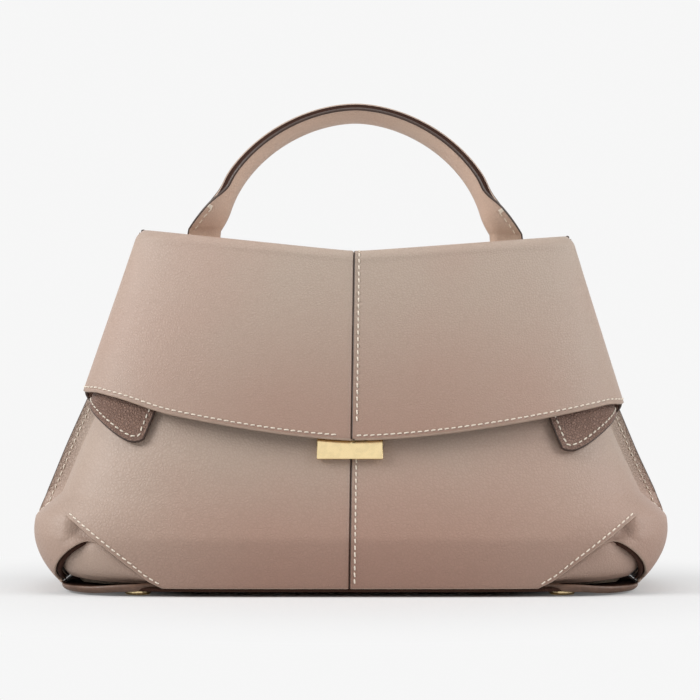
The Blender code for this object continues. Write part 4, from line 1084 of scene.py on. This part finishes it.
def edgeHeight(x, side):
    # A power curve that rises to the sides, is lifted a little on the left, and drops into the fold.
    rise = flap["edgeMid"] + flap["edgeRise"] * (np.abs(x) / flap["edgeHalf"]) ** flap["edgeCurve"]
    lift = flap["leftLift"] * ease(np.abs(x), *flap["leftRun"]) if side < 0 else 0.0
    return rise + lift - flap["foldDrop"] * ease(np.abs(x), *flap["foldDropRun"])


def flapHalf(z):
    # The body's slant with an overhang that shrinks downwards, and a quarter circle at the top corner.
    share = (flap["topHeight"] - z) / (flap["topHeight"] - flap["foldHeight"])
    rise = flap["corner"] * ramp(z, flap["topHeight"] - flap["corner"], flap["topHeight"])
    return (slantHalf(z) + mix(flap["topOverhang"], flap["foldOverhang"], share)
            - flap["corner"] + np.sqrt(flap["corner"] ** 2 - rise**2))


def flapFront(u, z):
    # The body's front outline, as wide as the flap and stood off to the front.
    u, z = np.broadcast_arrays(u, z)
    x, y = outline(u, flapHalf(z), bodyDepth(False, z), bodySquare(False, z))
    return np.stack([x, -y - flap["stand"], z], axis=-1)


def flapPlace(x, z):
    # The flap's parameter at which it lies this far out.
    return outlinePlace(x, flapHalf(z), bodySquare(False, z))


def stripRear(x):
    # Rear line of the strip: just in front of the back's outline at the height of the hinge.
    width = bodyHalf(flap["hinge"]) - body["fin"]
    power = body["backTopSquare"]
    share = np.minimum(np.abs(x) / width, 1.0)
    y = bodyDepth(True, flap["hinge"]) * (1 - share**power) ** (1 / power)
    soft = flap["rearSoft"]
    return np.maximum((y**soft + body["finHalf"] ** soft) ** (1 / soft) - flap["rearGap"], flap["rearLeast"])


flapRows = {"strip": evenly(16)[:-1], "ridge": evenly(12)[:-1], "fall": evenly(66)}
fallStart = len(flapRows["strip"]) + len(flapRows["ridge"])


def flapGrid(places, side):
    # Strip, quarter turn and fall, one after the other: the grid and its normals.
    def at(z):
        return flapFront(columnsAt(places, lambda x: flapPlace(x, z)), z)

    ridge = ridgeHeight(at(np.full((1, 1), flap["topHeight"]))[..., 0])
    low = ridge - flap["ridgeRadius"]
    turn = at(low)[..., 1] + flap["ridgeRadius"]
    x = at(ridge)[..., 0]
    share = flapRows["strip"][None]
    stripTop = mix(hingeLine(x), ridge, share) - flap["sag"] * np.sin(math.pi * share)
    strip = np.stack([x + 0 * share, mix(stripRear(x), turn, share), stripTop], axis=-1)
    angle = flapRows["ridge"][None] * math.pi / 2
    z = low + flap["ridgeRadius"] * np.cos(angle)
    arc = np.stack([at(z)[..., 0], turn - flap["ridgeRadius"] * np.sin(angle), z], axis=-1)
    edge = np.full((len(x), 1), flap["edgeMid"])
    for _ in range(flap["rounds"]):
        edge = edgeHeight(at(edge)[..., 0], side)
    grid = np.concatenate([strip, arc, at(mix(low, edge, flapRows["fall"][None]))], axis=1)
    normals = gridNormals(grid, -1)
    x, z = grid[..., 0], grid[..., 2]
    calm = ease(x, *flap["waveMiddle"]) * (1 - ease(x, *flap["waveSide"]))
    calm[:, :fallStart] = 0.0
    calm[:, fallStart:] *= np.sin(math.pi * flapRows["fall"][None]) ** flap["waveRound"]
    (alongX, alongZ), (start, shift) = flap["waveScale"], flap["waveShift"]
    wave = swell(x * alongX, z * alongZ, side * shift + start, flap["wave"]) * calm
    return grid + normals * wave[..., None], normals


def joined(sheet, fold, wing):
    # The fold and the wing go on from the side of the fall only. Behind the strip the columns repeat.
    beyond = np.concatenate([fold, wing])
    pad = np.repeat(sheet[-1:, :fallStart], len(beyond), axis=0)
    return np.concatenate([sheet, np.concatenate([pad, beyond], axis=1)])


# Rim of the ear below the flap (x, z), from its inner corner round its lowest point and up to the fold
earRim = smoothPath((
    (0.1010, 0.0985), (0.1030, 0.0940), (0.1046, 0.0895), (0.1056, 0.0855), (0.1068, 0.0815), (0.1092, 0.0785),
    (0.1133, 0.0774), (0.1178, 0.0783), (0.1240, 0.0818), (0.1305, 0.0868), (0.1355, 0.0915), (0.1390, 0.0965),
    (0.1415, 0.1010),
), flap["earPlaces"])
flapLook = {"face": "taupe", "under": "fold", "rim": "paint", "bulge": 0.75, "rimSteps": 7,
            "slot": "taupe_leather"}
fall = flapRows["fall"][None]
for hand, side in hands:
    laps = side < 0
    places, sunk, thick = lapColumns(flap, laps, flap["thick"])
    if not laps:
        near = np.nan_to_num(places[0], nan=1.0)[:, None]
        thick = mix(flap["lapThin"], flap["thick"], ease(near, *flap["lapThinRun"]))
    grid, normals = flapGrid(places, side)
    toSide = np.linalg.norm(grid - grid[-1:], axis=-1)
    toEdge = np.linalg.norm(grid - grid[:, -1:], axis=-1)
    byFold = mix(flap["foldThick"], flap["thick"], ease(toSide, *flap["foldThickRun"]))
    thick = np.where(np.arange(len(grid))[:, None] > flap["foldThickFrom"], byFold, thick)
    thick = np.minimum(thick, mix(flap["edgeThick"], flap["thick"], ease(toEdge, *flap["edgeThickRun"])))
    outer = grid - normals * sunk[..., None]
    inner = grid - normals * (sunk + thick)[..., None]
    # Side fold: half a turn about a line one fold radius behind the side of the fall
    foldLine, foldNormal = grid[-1, fallStart:], normals[-1, fallStart:]
    backWay = unit(foldLine - grid[-2, fallStart:])
    turned = evenly(flap["foldSteps"])[1:, None, None]
    arm = foldNormal[None] * np.cos(math.pi * turned) + backWay[None] * np.sin(math.pi * turned)
    centre = (foldLine - foldNormal * flap["foldRadius"])[None]
    drop = np.zeros(arm.shape)
    dip = flap["foldDip"] * fall ** flap["dipLate"]
    drop[..., 2] = dip * turned[..., 0] ** flap["dipCurve"]
    foldOuter = centre + arm * flap["foldRadius"] - drop
    foldInner = centre + arm * (flap["foldRadius"] - flap["foldThick"]) - drop
    # Wing: runs back towards the middle behind the fall, with a rounded ear below the edge
    gone = (1 - (1 - evenly(flap["wingColumns"])[1:]) ** flap["wingCrowd"])[:, None]
    turnIn = flapPlace(flap["wingIn"], np.array(flap["foldHeight"]))
    u = 1 - gone * (1 - turnIn) * mix(flap["wingTop"], 1.0, ramp(fall, *flap["wingTopRun"]))
    fresh = ease(gone, *flap["earFrom"])
    ear = np.zeros(gone.shape)
    for _ in range(flap["rounds"]):
        z = foldLine[None, :, 2] - (dip * (1 - fresh) + ear * fresh * fall ** flap["earLate"])
        point, out = flapFront(u, z), surfaceNormals(flapFront, u, z)
        wingOuter = point - out * 2 * flap["foldRadius"]
        rimHere = np.interp(wingOuter[:, -1, 0], earRim[:, 0], earRim[:, 1]) - side * flap["earShift"]
        ear = ear + (wingOuter[:, -1, 2] - rimHere)[:, None]
    wingInner = point - out * (2 * flap["foldRadius"] - flap["foldThick"])
    outerAll, innerAll = joined(outer, foldOuter, wingOuter), joined(inner, foldInner, wingInner)
    keep = np.ones((len(outerAll) - 1, outerAll.shape[1] - 1), bool)
    keep[len(outer) - 1:, :fallStart] = False
    tone = np.ones(outerAll.shape[:2])
    tone[flap["rimPast"]:len(outer) - flap["rimPast"], -1] = 0.0
    edgeLine = insetPath(outer[:, fallStart:], -1, flap["edgeInset"])
    edgeLine = edgeLine[edgeLine[:, 0] > flap["underFrom" if laps else "overFrom"]]
    wingUnder = np.concatenate([foldInner[flap["underSkip"]:], wingInner])
    framed = np.concatenate([wingUnder, gridNormals(wingUnder, 1)], axis=2)
    rim = np.concatenate([framed[:, -1], framed[-1, -2::-1]])
    paths = [edgeLine, rimPath(rim[rim[:, 2] < flap["earTop"]], flap["earInset"])]
    if not laps:
        framed = np.concatenate([outer, normals], axis=2)
        paths.append(framed[flap["lapColumn"], :-flap["lapStitchShort"]])
    paths = [mirrored(path, side) for path in paths]
    patch = (mirrored(outerAll, side), mirrored(innerAll, side), tone, keep)
    made = leatherSheet(f"flap{hand}", [patch], flapLook, "flap", marksAlong(paths))
    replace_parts(made, f"flap_{hand.lower()}", f"flap_stiffener_{hand.lower()}", f"handle_anchor_{hand.lower()}")
    stitchRow(f"flapStitches{hand}", paths, "flap")
    print(made.name, len(made.data.polygons), "faces")

# Flap lining, in one piece under both halves
liner = {"near": 0.0030, "thick": 0.0008, "inset": 0.0028, "first": 0.004, "columns": 50,
         "short": 8, "rearShort": 2, "frontShort": 3}
patches, lines = [], []
for side in (-1, 1):
    grid, normals = flapGrid(columnPlaces(np.array([0.0, liner["first"]]), liner["columns"]), side)
    middle = slice(liner["rearShort"], -liner["frontShort"])
    grid, normals = grid[:-liner["short"], middle], normals[:-liner["short"], middle]
    outer = mirrored(grid - normals * liner["near"], side)
    inner = mirrored(grid - normals * (liner["near"] + liner["thick"]), side)
    outer[0, :, 0] = inner[0, :, 0] = 0.0
    patches.append((outer, inner))
    lines.append(insetPath(inner, side, liner["inset"]))
    lines.append(insetPath(np.swapaxes(inner, 0, 1), -side, liner["inset"]))
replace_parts(leatherSheet("flapLining", patches, liningLook, "flap", marksAlong(lines)), "flap_lining")
stitchRow("flapLiningStitches", lines, "flap")

# Rear yoke, sewn to the back along its lower edge
yoke = {"foot": 0.1635, "under": 0.0005, "reach": 0.0830, "near": 0.0003, "thick": 0.0016, "inset": 0.0028,
        "columns": 90, "rows": 16}
x = np.linspace(-yoke["reach"], yoke["reach"], yoke["columns"])[:, None]
z = mix(yoke["foot"], hingeLine(x) - yoke["under"], evenly(yoke["rows"])[None])
u = bodyPlace(True, x, z)
outer, inner = (bodyPoint(True, u, z, depth) for depth in (-yoke["near"] - yoke["thick"], -yoke["near"]))
lines = [insetPath(outer[:, ::-1], 1, yoke["inset"])]
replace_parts(leatherSheet("rearYoke", [(outer, inner)], softLook, "carcass", lines), "rear_yoke")
stitchRow("yokeStitches", lines, "carcass")

# Hinge band: soft leather sewn over the yoke and the rear of the strip
band = {
    "reach": 0.0800, "thick": 0.0008, "lift": 0.0002, "foot": 0.1690, "footOut": 0.0018, "headOut": 0.0002,
    "under": 0.0013, "bend": 0.0024, "front": 0.0062, "rootFront": 0.0112, "rootRun": (0.0590, 0.0670),
    "inset": 0.0026, "frontInset": 0.0018, "columns": 80, "rows": 12, "turns": 10,
}
x = np.linspace(-band["reach"], band["reach"], band["columns"])
faceY = stripRear(x) + flap["rearGap"] + yoke["near"] + yoke["thick"] + band["lift"] + band["thick"]
foot = np.stack([x, faceY + band["footOut"], np.full(len(x), band["foot"])], axis=-1)
top = hingeLine(x) - band["under"]
head = np.stack([x, faceY + band["headOut"], top], axis=-1)
angle = np.linspace(0, math.pi / 2, band["turns"])[1:][None, :]
arc = (x[:, None], (faceY - band["bend"] + band["headOut"])[:, None] + band["bend"] * np.cos(angle),
       top[:, None] + band["bend"] * np.sin(angle))
arc = np.stack(np.broadcast_arrays(*arc), axis=-1)
# The band's front follows the sagging strip, and is notched where the handle's roots stand
frontY = mix(band["front"], band["rootFront"], ease(np.abs(x), *band["rootRun"]))
ridge = ridgeHeight(x)
low = ridge - flap["ridgeRadius"]
turn = flapFront(flapPlace(x, low), low)[:, 1] + flap["ridgeRadius"]
share = (stripRear(x) - frontY) / (stripRear(x) - turn)
onStrip = mix(hingeLine(x), ridge, share) - flap["sag"] * np.sin(math.pi * share)
ahead = np.stack([x, frontY, onStrip + band["thick"] + band["lift"]], axis=-1)
rows = evenly(band["rows"])[None, :, None]
down, forward = mix(foot[:, None], head[:, None], rows), mix(arc[:, -1:], ahead[:, None], rows[:, 1:])
outer = np.concatenate([down, arc, forward], axis=1)
sign = 1 if gridNormals(outer, 1)[len(x) // 2, 2, 1] > 0 else -1
inner = outer - gridNormals(outer, sign) * band["thick"]
lines = [insetPath(outer[:, ::-1], -sign, band["inset"]), insetPath(outer, sign, band["frontInset"])]
lines[1] = lines[1][np.abs(lines[1][:, 0]) < band["rootRun"][0]]
made = leatherSheet("hingeBand", [(outer, inner)], softLook, None, lines)
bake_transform(made)
stitchRow("hingeStitchesYoke", lines[:1], "carcass")
stitchRow("hingeStitchesFlap", lines[1:], "flap")
print("flap dressed")

# Handle: a strap folded to a channel, open at the top of its arch and pinched shut at its ends
handle = {
    "half": 0.0690, "rise": 0.0600, "height": 0.1900, "power": 1.83, "flare": 0.0040, "flareHeight": 0.0120,
    "strap": 0.0180, "frontStrap": 0.0153, "rearStrap": 0.0213, "rootStrap": 0.0198, "closes": (0.72, 0.98),
    "open": math.radians(55), "pinchFrom": 0.73, "pinchTo": 1.00, "pinchCurve": 1.2, "pinchRadius": 0.0050,
    "waist": 0.0012, "waistAt": 0.77, "waistRun": 0.06, "pivotRadius": 0.0097, "pivot": 0.19428,
    "outer": (0.0, 0.0022, 0.0), "lining": (0.0023, 0.0042, 0.0022), "stations": 170, "across": 48,
    "step": 0.003, "rimBrown": (0.60, 0.80), "stitchInset": 0.0026, "stitchFrom": 0.1890, "stitchTo": 0.2035,
    "tackHeight": 0.2030, "tackLength": 0.0024, "tackInset": 0.0012, "tackWay": (0.8, 0.0, 0.6),
}


def handlePath(t):
    # Inner edge of the arch: half a superellipse, a little more pointed than an ellipse.
    angle = np.abs(t) * math.pi / 2
    power = 2 / handle["power"]
    out = handle["half"] * np.sin(angle) ** power
    rise = handle["rise"] * np.maximum(np.cos(angle), 0.0) ** power
    return np.stack([np.sign(t) * out, 0 * t, handle["height"] + rise], axis=-1)


def handleGrid(near, far, setback):
    # Across the strap the outer face turns through the fold's angle and then runs straight. The
    # rear half stands higher at the top of the arch. Grids of the near and of the far face.
    t = np.linspace(-1, 1, handle["stations"])[:, None]
    q = np.linspace(-1, 1, handle["across"])[None]
    pinch = ramp(np.abs(t), handle["pinchFrom"], handle["pinchTo"]) ** handle["pinchCurve"]
    angle = mix(handle["open"], math.pi / 2, pinch)
    radius = mix(handle["strap"] / handle["open"], handle["pinchRadius"], pinch)
    here = handlePath(t)
    way = handlePath(np.minimum(t + handle["step"], 1.0)) - handlePath(np.maximum(t - handle["step"], -1.0))
    out = unit(np.stack([-way[..., 2], 0 * way[..., 0], way[..., 0]], axis=-1))
    up = here[..., 2] - handle["height"]
    flare = handle["flare"] * ramp(up, handle["flareHeight"], 0.0) ** 2
    front = mix(handle["frontStrap"], handle["rearStrap"], ease(np.abs(t), *handle["closes"]))
    width = np.where(q > 0, handle["rearStrap"], front)
    waist = handle["waist"] * np.exp(-(((np.abs(t) - handle["waistAt"]) / handle["waistRun"]) ** 2))
    gone = np.abs(q) * (mix(width, handle["rootStrap"], pinch) - waist - setback)
    leg = np.maximum(gone - radius * angle, 0.0)
    turn = np.minimum(gone / radius, angle)
    faces = []
    for depth in (near, far):
        sideways = (radius - depth) * np.sin(turn) + leg * np.cos(turn)
        rise = radius - (radius - depth) * np.cos(turn) + leg * np.sin(turn)
        points = here + out * rise[..., None]
        points[..., 0] += np.sign(t) * flare
        points[..., 1] = np.sign(q) * sideways
        for end in (0, -1):
            points[end, :, 2] = handle["pivot"] - np.sqrt(handle["pivotRadius"] ** 2 - sideways[end] ** 2)
        faces.append(points)
    return faces


# The strap's faces take the handle leather, lightened as painted light.
strapLook = {"face": "handle", "under": "handle", "rim": "paint", "bulge": 0.8, "slot": "taupe_leather"}
face, faceBack = handleGrid(*handle["outer"])
lines, tacks = [], []
for turned, sign in ((face, 1), (face[:, ::-1], -1)):
    line, rim = (insetPath(turned, sign, handle[key]) for key in ("stitchInset", "tackInset"))
    inRun = (line[:, 2] > handle["stitchFrom"]) & (line[:, 2] < handle["stitchTo"])
    for end in (-1, 1):
        lines.append(line[(np.sign(line[:, 0]) == end) & inRun])
        ours = rim[np.sign(rim[:, 0]) == end]
        near = ours[np.argmin(np.abs(ours[:, 2] - handle["tackHeight"]))]
        tacks.append((near[:3], np.array(handle["tackWay"]) * (end, 1, 1), near[3:], handle["tackLength"]))
tone = np.ones(face.shape[:2])
tone[:, -1] = ease(np.abs(np.linspace(-1, 1, len(face))), *handle["rimBrown"])
made = leatherSheet("handleOuter", [(face, faceBack, tone)], strapLook, "handle", lines)
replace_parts(made, "handle_outer", "handle_core")
stitchRow("handleStitches", lines, "handle")
barTack("handleTacks", tacks, "handle")
# The channel's inside takes the near-black leather, partly painted shade.
look = {"face": "channel", "under": "channel", "rim": "paint", "bulge": 0.6, "slot": "brown_lining"}
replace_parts(leatherSheet("handleLining", [handleGrid(*handle["lining"])], look, "handle"), "handle_lining")
print("handle dressed")

# CAD nodes that stay as they are, with their finishes
keptNodes = {
    "gold": ("gold_metal", "clasp_bar", "foot_front_left", "foot_front_right", "foot_back_left",
             "foot_back_right"),
    "steel": ("plain_steel", "clasp_rivet_left", "clasp_rivet_right", "closure_magnet", "washer_front_left",
              "washer_front_right", "washer_back_left", "washer_back_right"),
    "board": ("fibre_board", "base_board"),
}
for key, (slot, *names) in keptNodes.items():
    for name in names:
        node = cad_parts[name]
        node.data.materials.clear()
        node.data.materials.append(finishes[key])

# Studio: pale floor, white surround, one broad key from the upper left and two weak fills
studio = {
    "surround": (0.926, 0.926, 0.926), "sky": (1.0, 0.985, 0.965), "skyLight": 0.17, "aim": (0.0, 0.0, 0.10),
    "key": ((-1.8, -0.65, 1.25), 1.2, 37.0), "fill": ((1.8, -0.55, 1.05), 1.4, 25.0),
    "top": ((0.0, -0.3, 2.0), 1.4, 9.0), "floor": (0.795, 0.80, 0.805), "speck": 400.0,
    "speckShade": 0.99, "rough": 0.9, "fade": (0.09, 0.30), "reach": 6.0,
}


def areaLamp(name, place, size, power):
    lamp = bpy.data.lights.new(name, "AREA")
    lamp.shape = "DISK"
    lamp.size = size
    lamp.energy = power
    holder = bpy.data.objects.new(name, lamp)
    bpy.context.scene.collection.objects.link(holder)
    holder.location = place
    aim = np.array(studio["aim"]) - np.array(place)
    holder.rotation_euler = (math.pi / 2 - math.asin(-aim[2] / np.linalg.norm(aim)), 0.0,
                             math.atan2(aim[1], aim[0]) - math.pi / 2)


for key in ("key", "fill", "top"):
    areaLamp(key, *studio[key])

# The camera, mirrors and clear pieces see the white surround, and all else is lit by a weak sky
world = Finish(bpy.data.worlds.new("studio"))
bpy.context.scene.world = world.owner
world.tree.nodes.clear()
seen = world.add("ShaderNodeBackground", {}, {"Color": (*studio["surround"], 1.0)})
lit = world.add("ShaderNodeBackground", {}, {"Color": (*studio["sky"], 1.0), "Strength": studio["skyLight"]})
straight, clear, shiny = (
    world.add("ShaderNodeLightPath", {}, {}, f"Is {kind} Ray") for kind in ("Camera", "Transmission", "Glossy")
)
share = world.maths("MAXIMUM", world.maths("MAXIMUM", straight, clear), shiny)
light = world.add("ShaderNodeMixShader", {}, {0: share, 1: lit, 2: seen})
world.tree.links.new(light.socket, world.tree.nodes.new("ShaderNodeOutputWorld").inputs["Surface"])


def floorFinish():
    # Lit near the bag, so that it takes the shadow, and further out the plain white of the surround.
    made = Finish(bpy.data.materials.new("pale_floor"))
    where = made.coordinates()
    away = made.add("ShaderNodeVectorMath", {"operation": "LENGTH"}, {0: where}, 1)
    speck = made.noise(where, studio["speck"])
    tone = made.blendColours(speck, studio["floor"], shaded(studio["floor"], studio["speckShade"]))
    made.set(Base_Color=tone, Roughness=studio["rough"])
    plain = made.add("ShaderNodeEmission", {}, {"Color": (*studio["surround"], 1.0), "Strength": 1.0})
    path = made.add("ShaderNodeLightPath", {}, {})
    share = made.step(away, *studio["fade"]) * path
    mixed = made.add("ShaderNodeMixShader", {}, {0: share, 1: Wire(made, made.shader.outputs[0]), 2: plain})
    made.tree.links.new(mixed.socket, made.tree.nodes["Material Output"].inputs["Surface"])
    return made.owner


reach = studio["reach"]
floorMesh = bpy.data.meshes.new("floor")
corners = [(-reach, -reach, 0), (reach, -reach, 0), (reach, reach, 0), (-reach, reach, 0)]
floorMesh.from_pydata(corners, [], [(0, 1, 2, 3)])
floorMesh.materials.append(floorFinish())
floor = bpy.data.objects.new("floor", floorMesh)
bpy.context.scene.collection.objects.link(floor)
floor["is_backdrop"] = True
print("studio lit")

low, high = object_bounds()
